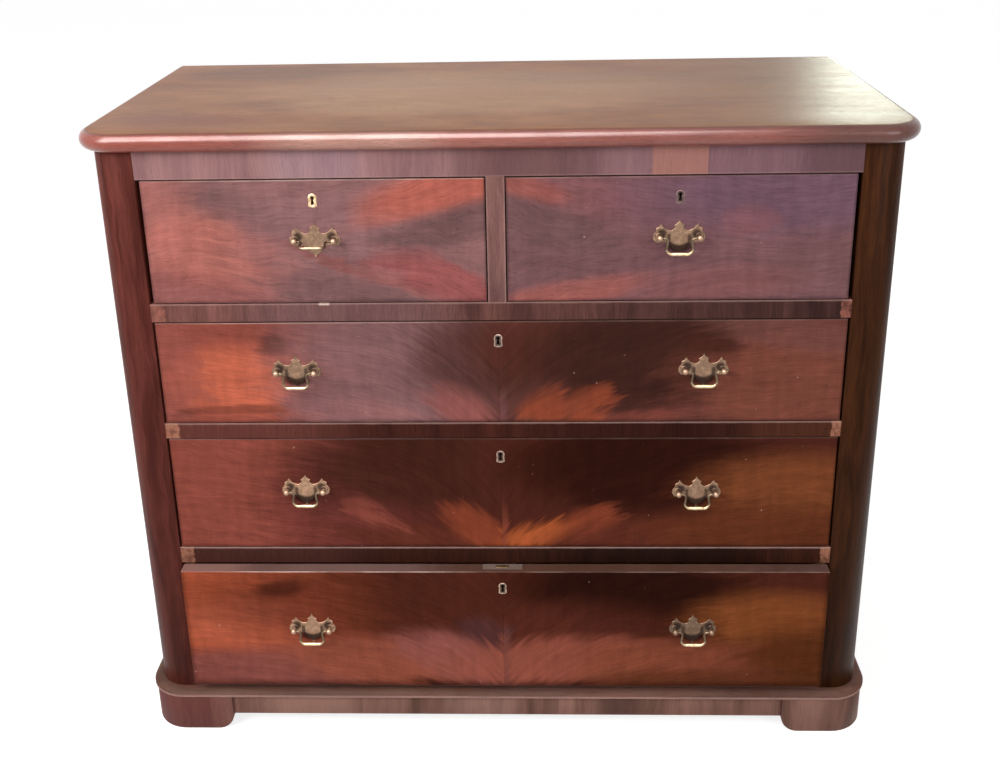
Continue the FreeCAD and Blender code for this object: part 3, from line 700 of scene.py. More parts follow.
def veneer(drawer, base, patches, sweep, spread, strip, shine, rub, dirt):
    """The finish of a drawer's front; strip, if any, is what lay_seam needs for its paler strip."""
    material, bench, shader = finish(drawer + "_veneer", VENEER_ROUGH, shine)
    low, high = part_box(drawer + "_front")
    middle = (low + high) / 2
    leaf = Leaf(bench, middle, sweep, spread)
    colour = lay_patches(bench, leaf, middle, base, patches)
    if strip:
        colour = lay_seam(bench, leaf, colour, *strip)
    colour = bench.shade(colour, grain_level(bench, leaf, low, high, dirt))
    colour = mark_wear_and_light(bench, leaf, colour, drawer, high[2], rub)

    facing = bench.facing()
    veneered = bench.remap(bench.times(bench.split(facing)[1], -1.0), 0.3, 0.7)
    core = bench.mix(bench.remap(leaf.wood["Streaks"], 0.3, 0.7), CORE_DARK, CORE_LIGHT)
    settled = bench.use(dust_group, Spot=leaf.spot, Facing=facing, Amount=0.4)["Dust"]
    core = lengthwise(bench, bench.mix(settled, core, CORE_DUST), CORE_TONES)
    bench.feed(shader.inputs["Base Color"], bench.mix(veneered, core, colour))
    roughness = bench.scaled(leaf.streak, 0.12, VENEER_ROUGH)
    bench.feed(shader.inputs["Roughness"], bench.scaled(leaf.drift, 0.08, roughness))
    height = bench.scaled(leaf.wood["Pores"], -0.6, leaf.wood["Fibres"])
    raise_grain(bench, shader, height, VENEER_GRAIN_DEPTH)
    return material


print("veneer can be finished")

# %% [markdown]
# ## The figure of each front
# These are the tints and the places of the plumes, chosen while looking at each front. A
# patch later in a list lies over the earlier ones.

# %% Lay the veneer
SALMON = tone(178, 107, 97)
CORAL = tone(180, 98, 84)
CRIMSON = tone(152, 84, 82)
# The lilac and mauve-grey haze of the short fronts is partly bloom on the old polish and partly a painted
# reflection of window glare.
MAUVE = tone(138, 98, 99)
LILAC_GLARE = tone(112, 83, 100)
DUSK = tone(112, 80, 80)
ORANGE = tone(196, 101, 76)
RUSSET = tone(144, 74, 62)
ROSE = tone(150, 86, 80)
RUST = tone(146, 70, 46)
EMBER = tone(178, 90, 50)
AMBER = tone(124, 68, 40)
OLIVE = tone(90, 46, 22)
UMBER = tone(66, 33, 25)
SOOT = tone(39, 13, 7)
CHESTNUT = tone(96, 46, 34)

# Each front: base tone, patches, sweep and spread of the streaks, strip beside the seam.
figure = {
    "short_left": (tone(144, 101, 100), (
        (-165, -10, 120, 52, -10, SALMON, 1.0), (-232, 80, 60, 30, -12, SALMON, 0.6),
        (-195, -78, 110, 34, -5, ROSE, 0.7), (-120, 52, 95, 24, -28, DUSK, 0.45),
        (20, 10, 120, 60, 0, tone(144, 103, 104), 0.7), (188, 76, 100, 30, 12, CORAL, 1.0),
        (120, 48, 60, 16, 20, CORAL, 0.4), (200, 22, 120, 24, 18, DUSK, 0.85),
        (190, -64, 96, 24, -22, CRIMSON, 0.95), (45, -80, 110, 22, -12, DUSK, 0.6),
        (70, -48, 110, 9, -22, ROSE, 0.6),
    ), 0.0, 2.2, None),
    "short_right": (tone(124, 85, 88), (
        (-228, 82, 56, 16, -15, CORAL, 0.6), (-140, 66, 90, 26, -8, CRIMSON, 0.2),
        (-206, 28, 110, 26, -20, DUSK, 0.8), (-170, -84, 110, 18, 10, CORAL, 0.55),
        (-190, -30, 90, 40, 0, DUSK, 0.4), (160, 66, 190, 50, 0, LILAC_GLARE, 0.7),
        (100, 28, 34, 20, 0, ROSE, 0.3), (210, -40, 90, 30, 15, DUSK, 0.35),
        (60, -70, 120, 24, 5, ROSE, 0.3),
    ), 0.0, 2.2, None),
    "upper_long": (tone(98, 57, 51), (
        (-430, 0, 180, 130, 0, RUSSET, 0.95), (-404, -12, 100, 50, 0, ORANGE, 1.0),
        (-505, 0, 40, 120, 0, tone(150, 82, 72), 0.7), (-341, 48, 26, 16, 0, UMBER, 0.7),
        (-400, -60, 90, 7, 4, UMBER, 0.45), (-285, -66, 60, 20, -12, ROSE, 0.7),
        (-186, -6, 138, 120, 0, MAUVE, 0.85), (-180, -70, 60, 18, -10, tone(160, 108, 106), 0.6),
        (-40, 20, 80, 60, 0, UMBER, 0.7), (-56, -62, 44, 26, -30, ROSE, 0.8),
        (60, 40, 80, 50, 0, CHESTNUT, 0.55), (205, 20, 160, 84, 0, tone(58, 29, 22), 0.95),
        (70, -66, 34, 28, 35, RUST, 0.85), (138, -64, 34, 30, 50, RUST, 0.85),
        (210, -80, 60, 14, 8, RUSSET, 0.55), (446, -20, 145, 90, 0, tone(126, 70, 56), 0.85),
        (325, 52, 42, 22, 0, UMBER, 0.85), (440, 60, 120, 22, -10, tone(114, 72, 66), 0.6),
    ), 0.18, 0.0, (tone(124, 78, 78), 0.6, -20)),
    "middle_long": (tone(80, 38, 29), (
        (-440, 0, 190, 150, 0, RUSSET, 0.95), (-293, 74, 55, 34, 0, RUSSET, 0.8),
        (-250, -30, 120, 80, 0, tone(106, 52, 46), 0.75), (-125, 50, 190, 72, 0, UMBER, 0.9),
        (-205, -38, 44, 18, -40, RUSSET, 0.55), (-170, -70, 60, 18, -35, RUSSET, 0.6),
        (-120, -84, 140, 20, -6, CHESTNUT, 0.9), (-38, -64, 48, 26, -36, RUST, 0.75),
        (40, 54, 80, 64, 0, CHESTNUT, 0.55), (215, 50, 190, 80, 0, SOOT, 0.85),
        (52, -78, 50, 20, 15, EMBER, 0.95), (138, -56, 40, 26, 20, RUST, 0.7),
        (240, -76, 140, 24, 4, CHESTNUT, 0.9), (466, 10, 140, 52, 0, AMBER, 0.95),
        (420, -64, 160, 40, 0, tone(102, 52, 30), 0.8),
    ), 0.20, 0.0, (tone(134, 68, 52), 0.6, 0)),
    "lower_long": (tone(78, 36, 25), (
        (-450, 44, 190, 110, 0, tone(174, 84, 56), 0.95), (-420, 10, 110, 44, 0, tone(188, 96, 70), 0.85),
        (-355, 78, 40, 14, 5, SOOT, 0.8), (-182, 54, 280, 70, 0, tone(80, 37, 25), 0.7),
        (-400, -76, 200, 34, 0, tone(136, 76, 68), 0.95), (-222, -60, 130, 42, -6, tone(148, 79, 60), 0.95),
        (-76, -58, 88, 38, -22, tone(150, 86, 78), 0.95), (-27, -8, 40, 24, -30, tone(84, 54, 56), 0.55),
        (214, 74, 170, 60, -5, SOOT, 0.95), (120, 14, 120, 40, 0, CHESTNUT, 0.4),
        (90, -64, 170, 40, 4, tone(152, 82, 66), 0.95), (270, -60, 150, 36, 0, tone(134, 71, 50), 0.85),
        (432, 20, 116, 46, 0, tone(130, 71, 38), 0.95), (490, -60, 80, 60, 0, OLIVE, 0.9),
        (320, -98, 160, 20, 0, tone(96, 50, 30), 0.7),
    ), 0.20, 0.0, (tone(118, 70, 64), 0.55, 30)),
}
# Each front: shine, where its upper arris is paled as rubbed polish and painted highlight, how far dirt and
# painted shade reach in from the rim.
FRONT_MARKS = {
    "short_left": (0.07, (0.8, -0.45, -0.02), 0.007), "short_right": (0.07, (0.3, 0.05, 0.30), 0.007),
    "upper_long": (0.05, (0.5, -0.46, -0.05), 0.007), "middle_long": (0.02, (0.1, 0.0, 0.4), 0.007),
    "lower_long": (0.02, (1.6, -0.42, -0.08), 0.014),
}
for drawer in DRAWERS:
    dress(drawer + "_front", veneer(drawer, *figure[drawer], *FRONT_MARKS[drawer]))
print("veneered", len(figure), "fronts")

# %% [markdown]
# ## Frieze and rails
# The rails are veneered in short lengths, so their tone changes in steps, and it changes
# softly along them too, darker to the right partly as painted shade. At the ends of the rails
# the veneer is lost and paler wood shows. The upper rail has one white mark in its arris, and
# a patch of paler wood is let into the frieze.

# %% Dress the rails
OPENING_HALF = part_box("right_stile")[0][0]
CREAM = tone(188, 128, 102)
END_LEAN = 0.0035
END_WIDTH = 0.0125
WHITE_MARK_X = -0.26
RAIL_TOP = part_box("upper_rail")[1][2]
PATCH_LEFT = 0.225
PATCH_RIGHT = 0.304
UPPER_TONES = ((-0.23, 0.13, tone(128, 94, 96), 0.5),)
MIDDLE_TONES = (
    (-0.42, 0.15, tone(106, 60, 52), 0.85), (0.21, 0.12, tone(46, 18, 12), 0.6),
    (0.46, 0.07, tone(86, 50, 32), 0.5),
)
LOWER_TONES = (
    (-0.42, 0.17, tone(76, 43, 37), 0.85), (-0.10, 0.10, tone(60, 30, 21), 0.6),
    (0.22, 0.12, tone(26, 13, 9), 0.6),
)
FRIEZE_TONES = (
    (-0.26, 0.06, tone(176, 142, 148), 0.55), (0.05, 0.09, tone(108, 75, 75), 0.8),
    (0.50, 0.05, tone(92, 66, 68), 0.6),
)


def stepped(bench, colour, length, amount):
    """A tone that changes in steps along X, as veneer laid in short pieces does."""
    cells = bench.add("ShaderNodeTexVoronoi", voronoi_dimensions="1D")
    bench.feed(cells.inputs["W"], bench.along_x())
    cells.inputs["Scale"].default_value = 1 / length
    step = bench.split(cells.outputs["Color"])[0]
    return bench.shade(colour, bench.remap(step, 0, 1, 1 - amount, 1 + amount, smooth=False))


def rail_tint(amount, end_tone, end_share, shade_slope, tones):
    """Stepped veneer that darkens to the right, partly as painted shade, with paler blocks where it is lost
    at the ends.
    """
    def tint(bench, colour):
        x = bench.along_x()
        colour = stepped(bench, colour, 0.21, amount)
        # Darker to the right, partly as painted shade.
        fall = bench.remap(x, -OPENING_HALF, OPENING_HALF, 1 + shade_slope, 1 - shade_slope, smooth=False)
        colour = lengthwise(bench, bench.shade(colour, fall), tones)
        ragged = bench.noise(bench.spot(), 120.0, 3.0, 0.6)
        edge = bench.scaled(ragged, 0.010, bench.gap(x, END_LEAN))
        ends = bench.remap(edge, OPENING_HALF - END_WIDTH - 0.002, OPENING_HALF - END_WIDTH)
        chips = bench.remap(ragged, 0.3, 0.65, end_share * 0.3, end_share)
        return bench.mix(bench.times(ends, chips), colour, end_tone)
    return tint


def marked_tint(bench, colour):
    """The upper rail, with one white mark in its upper arris."""
    colour = rail_tint(0.20, tone(166, 102, 88), 0.75, 0.68, UPPER_TONES)(bench, colour)
    beside = bench.remap(bench.gap(bench.along_x(), WHITE_MARK_X), 0.006, 0.010, 0.9, 0.0)
    under = bench.remap(bench.split(bench.spot())[2], RAIL_TOP - 0.0035, RAIL_TOP - 0.002)
    return bench.mix(bench.times(beside, under), colour, tone(236, 214, 200))


def frieze_tint(bench, colour):
    """Stepped veneer that cools to the right, with one patch of paler wood let in."""
    x = bench.along_x()
    colour = stepped(bench, colour, 0.30, 0.10)
    colour = bench.mix(bench.remap(x, -0.2, 0.5, 0.0, 0.8), colour, tone(118, 86, 96))
    colour = lengthwise(bench, colour, FRIEZE_TONES)
    inside = bench.times(bench.math("GREATER_THAN", x, PATCH_LEFT), bench.math("LESS_THAN", x, PATCH_RIGHT))
    return bench.mix(bench.times(inside, 0.8), colour, tone(172, 118, 106))


dress_board("frieze_rail", "z_front", tone(142, 103, 106), tone(176, 131, 128), 0.36, 0.08,
            streaks=20, wear=0.3, fine=0.5, tint=frieze_tint)
dress_board("upper_rail", "z_front", tone(84, 52, 48), tone(120, 78, 72), 0.4, 0.06,
            streaks=30, wear=0.5, sheltered=True, tint=marked_tint)
dress_board("middle_rail", "z_front", tone(57, 26, 20), tone(80, 40, 32), 0.4, 0.04,
            streaks=30, wear=0.6, sheltered=True, tint=rail_tint(0.28, CREAM, 0.8, 0.15, MIDDLE_TONES))
dress_board("lower_rail", "z_front", tone(38, 18, 12), tone(58, 29, 20), 0.42, 0.04,
            streaks=30, wear=0.7, sheltered=True, tint=rail_tint(0.30, CREAM, 0.7, 0.1, LOWER_TONES))
dress_board("bottom_rail", "x_front", tone(52, 30, 24), tone(84, 50, 40), 0.45, 0.1, wear=0.3)
dress_board("muntin", "z_front", tone(106, 72, 70), tone(146, 102, 96), 0.4, 0.12, wear=0.4)
print("rails dressed")

# %% [markdown]
# ## Stiles, sides and plinth
# The stiles and the sides are plain boards. The stiles are darker towards the floor, partly as
# painted shade, and the right stile is darker all over, as painted shade. The apron and the
# feet are veneered in short upright pieces.

# %% Dress the case
SIDE_WORN = tone(150, 100, 82)
APRON_TONES = (
    (-0.32, 0.06, tone(176, 132, 118), 0.6), (-0.04, 0.05, tone(168, 130, 118), 0.45),
    (0.19, 0.03, tone(86, 60, 54), 0.6),
)


def stile_tint(bench, colour):
    """Darker towards the floor, partly as painted shade."""
    height = bench.split(bench.spot())[2]
    return bench.shade(colour, bench.remap(height, 0.1, 0.95, 0.62, 0.88, smooth=False))


def foot_tint(bench, colour):
    """Veneer in short upright pieces; the left end keeps more of its red."""
    colour = stepped(bench, colour, 0.045, 0.14)
    redder = bench.remap(bench.along_x(), -0.52, -0.42, 0.7, 0.0)
    return lengthwise(bench, bench.mix(redder, colour, tone(104, 50, 50)), APRON_TONES)


# The right stile's darker tones are painted shade, as the light falls from the left.
STILE_TONES_WITH_SHADE = {"left": (tone(87, 41, 34), tone(120, 61, 52)), "right": (tone(55, 29, 15), tone(83, 46, 24))}
for side, tones in STILE_TONES_WITH_SHADE.items():
    dress_board(side + "_stile", "z_front", *tones, 0.36, 0.04, curved=True, streaks=60, tint=stile_tint)
    dress_board(side + "_side", "z_side", tone(66, 33, 25), tone(104, 56, 42), 0.4, 0.2,
                wear=0.4, worn=SIDE_WORN, scratch=0.3)
for node in ("plinth", "feet"):
    dress_board(node, "z_front", tone(104, 74, 64), tone(148, 108, 96), 0.5, 0.06, curved=True,
                streaks=22, wear=0.3, dust=0.6, fine=0.6, tint=foot_tint)
print("case dressed")

# %% [markdown]
# ## Back and insides
# Nobody polished what isn't seen. The back and the runners are bare pine, each board of the
# back in its own tone. The drawers are bare oak inside, and their locks are iron.

# %% Dress the insides
BACK_BOARDS = 6


def back_tint(bench, colour):
    """Each board of the back has its own tone, and a dark joint beside it."""
    low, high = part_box("back_boards")
    along = bench.remap(bench.along_x(), low[0], high[0], 0.0, BACK_BOARDS, smooth=False)
    own = bench.add("ShaderNodeTexWhiteNoise", noise_dimensions="1D")
    bench.feed(own.inputs["W"], bench.math("FLOOR", along))
    colour = bench.shade(colour, bench.remap(own.outputs["Value"], 0, 1, 0.78, 1.12, smooth=False))
    off_joint = bench.gap(bench.math("FRACT", bench.math("ADD", along, 0.5)), 0.5)
    return bench.shade(colour, bench.remap(off_joint, 0.0, 0.02, 0.35, 1.0))


dress_board("back_boards", "z_front", tone(140, 102, 68), tone(168, 128, 88), 0.75, 0.2,
            streaks=60, wear=0.3, worn=tone(190, 160, 124), tint=back_tint)
dress_board("bottom_board", "x", tone(120, 88, 58), tone(160, 122, 84), 0.75, 0.2, dust=0.5)
dress_board("runners_and_stops", "y", tone(130, 92, 58), tone(174, 132, 88), 0.7, 0.2, dust=0.4)
oak_box = board("drawer_side_oak", None, "y_side", tone(150, 114, 76), tone(190, 152, 108), 0.65, 0.25,
                crosswise="x_front")
oak_floor = board("drawer_floor_oak", None, "x", tone(136, 102, 68), tone(178, 142, 100), 0.65, 0.25,
                  dust=0.35, dirt=tone(150, 126, 98))
lock_iron = board("lock_iron", None, "x", tone(60, 54, 50), tone(92, 84, 76), 0.5, 0.5,
                  dust=1.0, dirt=tone(122, 92, 78))
for drawer in DRAWERS:
    dress(drawer + "_box", oak_box)
    dress(drawer + "_bottom", oak_floor)
    dress(drawer + "_lock_case", lock_iron)
print("insides dressed")

# %% [markdown]
# ## Brass
# Old cast brass is a dull grey-gold, dark in the corners that no cloth reaches and pale where
# fingers rub. Noise mixes the dull and the pale tone. Each pull also says, with masks worked out
# from its place, where it is darker and where paler: on the plates and bails the dark is painted
# shade, the pale balls of the posts are partly a painted highlight, and in the keyholes the dark is dirt.

# %% A brass finish
TARNISH_AND_SHADE = tone(44, 28, 22)
HANDLED_HIGHLIGHT = tone(168, 136, 114)
METAL = 0.85
BRASS_GRAIN_DEPTH = 0.0003


def brass(name, dull, bright, polish, rough, tarnish=None, handled_highlight=None):
    """Old brass; tarnish(bench) marks what is darkened by dirt and by painted shade, and
    handled_highlight(bench) what is paled by rubbing and by a painted highlight.
    """
    material, bench, shader = finish(name, rough, 0.5, METAL)
    spot = bench.spot()
    stain = bench.noise(spot, 130.0, 4.0, 0.65, 0.3)
    colour = bench.mix(bench.remap(stain, 0.75 - polish * 0.6, 0.95 - polish * 0.5), dull, bright)
    colour = bench.shade(colour, bench.remap(bench.noise(spot, 620.0, 2.0), 0.25, 0.6, 0.86, 1.05))
    # Darkened by dirt in the keyhole threads, and by painted shade on the plates and bails.
    if tarnish:
        colour = bench.mix(tarnish(bench), colour, TARNISH_AND_SHADE)
    # Paled as rubbed brass and as a painted highlight.
    if handled_highlight:
        colour = bench.mix(handled_highlight(bench), colour, HANDLED_HIGHLIGHT)
    bench.feed(shader.inputs["Base Color"], colour)
    bench.feed(shader.inputs["Roughness"], bench.scaled(stain, 0.3, rough - 0.15))
    raise_grain(bench, shader, stain, BRASS_GRAIN_DEPTH)
    return material


bolt_brass = brass("bolt_brass", tone(140, 112, 76), tone(190, 158, 104), 0.5, 0.4)
for drawer in DRAWERS:
    dress(drawer + "_lock_bolt", bolt_brass)
print("bolts dressed")

# %% [markdown]
# ## Making new meshes
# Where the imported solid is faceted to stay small, a smoother piece takes its place. Most
# of them are rings of points joined by faces: a ring can be a section carried along a path, a
# circle about an axis or an outline that steps inwards.

# %% Helpers for new pieces
SMOOTH_BELOW = math.radians(35)


class Shape:
    """Points and faces of a mesh in the making."""

    def __init__(self):
        self.points = []
        self.faces = []

    def rings(self, rings, closed=True, caps=True):
        """Faces between rings of equal length, with a face over each end."""
        count = len(rings[0])
        start = len(self.points)
        for ring in rings:
            self.points.extend(ring)
        spans = count if closed else count - 1
        for row in range(len(rings) - 1):
            for index in range(spans):
                a = start + row * count + index
                b = start + row * count + (index + 1) % count
                self.faces.append((a, b, b + count, a + count))
        if caps:
            last = start + (len(rings) - 1) * count
            self.faces.append(tuple(reversed(range(start, start + count))))
            self.faces.append(tuple(range(last, last + count)))


def new_piece(name, shape, material, body, replaced):
    """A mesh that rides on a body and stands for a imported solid, with every face turned outwards."""
    mesh = bpy.data.meshes.new(name)
    mesh.from_pydata([tuple(point) for point in shape.points], [], shape.faces)
    mesh.validate()
    mesh.update()
    mesh.shade_smooth()
    mesh.set_sharp_from_angle(angle=SMOOTH_BELOW)
    work = bmesh.new()
    work.from_mesh(mesh)
    bmesh.ops.recalc_face_normals(work, faces=work.faces)
    work.to_mesh(mesh)
    work.free()
    mesh.update()
    mesh.materials.append(material)
    piece = bpy.data.objects.new(name, mesh)
    bpy.context.scene.collection.objects.link(piece)
    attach(piece, body)
    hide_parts(replaced)
    return piece


print("mesh helpers ready")

# %% [markdown]
# ## The shape of the top
# The top has round front corners and a half-round edge on three sides. Seen from above, each
# level of that edge is the same outline drawn in a little, so the top is a stack of such
# outlines, closed by a flat face above, one below and one at the back.

# %% Stack the outlines of the top
CORNER_STEPS = 20
EDGE_STEPS = 14
TOP_CORNER = 0.064


def round_the_front(half_width, corner, front, back):
    """Stations from the back left round both front corners to the back right: a place and the way out."""
    stations = [(Vector((-half_width, back, 0)), Vector((-1, 0, 0)))]
    for side, start in ((-1, math.pi), (1, 1.5 * math.pi)):
        centre = Vector((side * (half_width - corner), front + corner, 0))
        for step in range(CORNER_STEPS + 1):
            angle = start + math.pi / 2 * step / CORNER_STEPS
            outward = Vector((math.cos(angle), math.sin(angle), 0))
            stations.append((centre + corner * outward, outward))
    stations.append((Vector((half_width, back, 0)), Vector((1, 0, 0))))
    return stations


low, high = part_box("top")
half = (high[2] - low[2]) / 2
stations = round_the_front(high[0], TOP_CORNER, low[1], high[1])
outlines = []
for step in range(EDGE_STEPS + 1):
    angle = math.pi * (step / EDGE_STEPS - 0.5)
    inset = half * (1 - math.cos(angle))
    lift = Vector((0, 0, low[2] + half + half * math.sin(angle)))
    outlines.append([place - outward * inset + lift for place, outward in stations])
top_shape = Shape()
top_shape.rings(outlines, closed=False)
count = len(stations)
rows = range(len(outlines))
back_left = tuple(row * count for row in rows)
back_right = tuple(row * count + count - 1 for row in reversed(rows))
top_shape.faces.append(back_left + back_right)
print("top:", len(top_shape.faces), "faces")

# %% [markdown]
# ## The finish of the top
# Light has faded the flat of the top and spills have stained it. The rounded edge keeps its
# red and its polish, and a painted highlight lies on its left part. A dark line runs between
# the flat and the edge. Normals tell them apart: a face of the flat looks straight up.

# %% Make the top
# The pale patch near x -0.20 is a painted highlight on the rounded edge.
NOSING_TONES_AND_HIGHLIGHT = (
    (-0.20, 0.10, tone(190, 140, 124), 0.8), (-0.56, 0.15, tone(156, 66, 48), 0.6),
    (0.60, 0.16, tone(74, 34, 24), 0.75),
)
STAINS = (
    (-0.44, -0.17, 0.11, 0.040, tone(126, 64, 50), 0.6), (-0.40, 0.20, 0.16, 0.060, tone(112, 76, 56), 0.6),
    (-0.05, 0.02, 0.30, 0.150, tone(196, 152, 114), 0.6), (0.16, 0.12, 0.18, 0.050, tone(128, 98, 70), 0.25),
)
FLAT_FROM = 0.90
FLAT_FULL = 0.995
NOSING_POLISH = 0.08


def top_tint(bench, colour):
    """The flat is faded and stained; the rubbed edge keeps its red, with a painted highlight on its left
    part and a dark line between.
    """
    x, y = bench.split(bench.spot())[:2]
    cloud = bench.noise(bench.mapping(bench.spot(), size=(1, 2.0, 1)), 7.0, 5.0, 0.6)
    faded = bench.mix(bench.remap(cloud, 0.3, 0.7), tone(141, 86, 49), tone(170, 111, 63))
    faded = bench.mix(bench.remap(x, 0.15, 0.50, 0.0, 0.6), faded, tone(128, 86, 40))
    ragged_x = bench.scaled(cloud, 0.16, bench.less(x, 0.08))
    ragged_y = bench.scaled(cloud, 0.12, bench.less(y, 0.06))
    on_flat = bench.join(ragged_x, ragged_y, 0.0)
    for place_x, place_y, half, deep, paint, strength in STAINS:
        stain = patch(bench, on_flat, (place_x, place_y, 0), (half, deep, 1), strength)
        faded = bench.mix(stain, faded, paint)
    turn = bench.looks_up()
    colour = lengthwise(bench, colour, NOSING_TONES_AND_HIGHLIGHT)
    colour = bench.mix(bench.remap(turn, FLAT_FROM, FLAT_FULL, 0.0, 0.9), colour, faded)
    line = bench.times(bench.remap(turn, 0.82, 0.93), bench.remap(turn, 0.95, 0.99, 0.6, 0.0))
    return bench.mix(line, colour, tone(96, 52, 44))


def nosing_gloss(bench, rough):
    """Hands keep the rounded edge smooth; the flat is duller."""
    flat = bench.remap(bench.looks_up(), FLAT_FROM, FLAT_FULL)
    return bench.scaled(flat, NOSING_POLISH, bench.less(rough, NOSING_POLISH))


top_wood = board("top_finish", "top", "x", tone(136, 72, 62), tone(168, 96, 82), 0.34, 0.10, streaks=26,
                 scratch=0.2, worn=tone(190, 150, 130), tint=top_tint, polish=nosing_gloss)
bench = Bench(top_wood.node_tree)
shader = top_wood.node_tree.nodes["Principled BSDF"]
shader.inputs["Coat Roughness"].default_value = 0.25
polish_left = bench.remap(bench.noise(bench.spot(), 6.0, 3.0, 0.6), 0.38, 0.62, 0.7, 1.0)
rounded = bench.remap(bench.looks_up(), FLAT_FROM, FLAT_FULL, 1.0, 0.0)
bench.feed(shader.inputs["Coat Weight"], bench.times(polish_left, rounded))
top = new_piece("polished_top", top_shape, top_wood, "carcase", "top")
print(top.name, "laid")

# %% [markdown]
# ## The base moulding
# A quarter-round strip runs under the case, round both front corners. One section is
# carried along that path. Every station holds the same section, so rings join them.

# %% Make the base moulding
CASE_CORNER = 0.045
PROJECTION = 0.017
BURIED = 0.020
LIP = 0.005
QUIRK = 0.0015
CHAMFER = 0.0012
OVOLO_STEPS = 8
low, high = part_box("base_moulding")
lip_top = low[2] + LIP
run = PROJECTION - QUIRK
drop = high[2] - lip_top
radius = (run ** 2 + drop ** 2) / (2 * drop)
section = [(-BURIED, low[2]), (-BURIED, high[2])]
for step in range(OVOLO_STEPS + 1):
    angle = math.asin(run / radius) * step / OVOLO_STEPS
    section.append((QUIRK + radius * math.sin(angle), high[2] - radius * (1 - math.cos(angle))))
section += [(PROJECTION, low[2] + CHAMFER), (PROJECTION - CHAMFER, low[2])]
stations = round_the_front(high[0] - PROJECTION, CASE_CORNER, low[1] + PROJECTION, high[1])
rings = []
for place, outward in stations:
    rings.append([place + outward * out + Vector((0, 0, z)) for out, z in section])
shape = Shape()
shape.rings(rings)


def lip_highlight(bench, colour):
    """The lip below the curve is painted pale, as a highlight."""
    height = bench.split(bench.spot())[2]
    return bench.mix(bench.remap(height, lip_top - 0.0004, lip_top + 0.0004, 0.55, 0.0), colour, EDGE)


moulding_wood = board("moulding_finish", "base_moulding", "x", tone(84, 50, 40), tone(116, 74, 60),
                      0.45, 0.06, wear=0.3, dust=0.3, tint=lip_highlight)
moulding = new_piece("ovolo_moulding", shape, moulding_wood, "carcase", "base_moulding")
print("moulding:", len(moulding.data.polygons), "faces")

# %% [markdown]
# ## The plate of a pull
# Each pull is a thin cast plate with a batwing outline, two turned posts that run through
# the drawer front to square nuts, and a bail that swings between them. The outline is a
# row of listed points. Points marked as tips stay sharp, and a smooth curve runs through
# the rest.

# %% Draw the plate
PLATE_HALF = 0.0385
PLATE_RISE = 0.026
PLATE_FALL = 0.0295
CURVE_STEPS = 5
OUTLINE = (
    (0.0, 1.0, True), (0.06, 0.80, False), (0.195, 0.63, True), (0.165, 0.50, False), (0.30, 0.33, False),
    (0.52, 0.43, False), (0.63, 0.60, False), (0.70, 0.74, True), (0.755, 0.56, False), (0.87, 0.46, True),
    (0.885, 0.25, False), (0.965, 0.09, True), (0.985, -0.10, False), (0.92, -0.28, False),
    (0.80, -0.345, False), (0.55, -0.325, False), (0.38, -0.42, False), (0.285, -0.55, True),
    (0.24, -0.66, False), (0.13, -0.745, False), (0.07, -0.78, True), (0.045, -0.90, False),
    (0.0, -1.0, True),
)


def smooth_outline(points):
    """Points along a curve that runs smoothly through all but the tips."""
    places = [Vector((x, z)) for x, z, tip in points]
    tips = [tip for x, z, tip in points]
    drawn = []
    for index in range(len(places) - 1):
        a, b = places[index], places[index + 1]
        before = a if tips[index] else places[index - 1]
        after = b if tips[index + 1] else places[index + 2]
        lean_a = (b - before) / (1 if tips[index] else 2)
        lean_b = (after - a) / (1 if tips[index + 1] else 2)
        for step in range(CURVE_STEPS):
            t = step / CURVE_STEPS
            drawn.append((2 * t ** 3 - 3 * t ** 2 + 1) * a + (t ** 3 - 2 * t ** 2 + t) * lean_a
                         + (3 * t ** 2 - 2 * t ** 3) * b + (t ** 3 - t ** 2) * lean_b)
    return drawn + [places[-1]]


half_outline = smooth_outline(OUTLINE)
mirrored = [Vector((-x, z)) for x, z in reversed(half_outline[1:-1])]
whole_outline = []
for x, z in half_outline + mirrored:
    whole_outline.append(Vector((x * PLATE_HALF, z * (PLATE_RISE if z > 0 else PLATE_FALL))))


def plate_ring(centre, y, shrink):
    """The plate's outline at a depth, drawn in by a distance."""
    ring = []
    for index, p in enumerate(whole_outline):
        along = whole_outline[(index + 1) % len(whole_outline)] - whole_outline[index - 1]
        moved = p - Vector((-along[1], along[0])).normalized() * shrink
        ring.append(Vector((centre[0] + moved[0], y, centre[2] + moved[1])))
    return ring


print("plate outline:", len(whole_outline), "points")

# %% [markdown]
# ## The posts and nuts of a pull
# A post is turned on a lathe, so it is a stack of circles. Its nut is a square with the
# corners taken off.

# %% Turn the posts
POST_SPACING = 0.058
PIN_REACH = 0.013
PLATE_THICKNESS = 0.0014
PLATE_ARRIS = 0.0005
BALL = 0.0046
SHANK = 0.0020
COLLAR = 0.0062
WAIST = 0.0030
NUT_HALF = 0.005
NUT_BITE = 0.0012
NUT_LEVELS = ((0.0221, 1.0), (0.0252, 1.0), (0.0260, 0.82))
COLLAR_STEPS = 4
BALL_STEPS = 12
LATHE_SIDES = 28
lathe_angles = [2 * math.pi * index / LATHE_SIDES for index in range(LATHE_SIDES)]


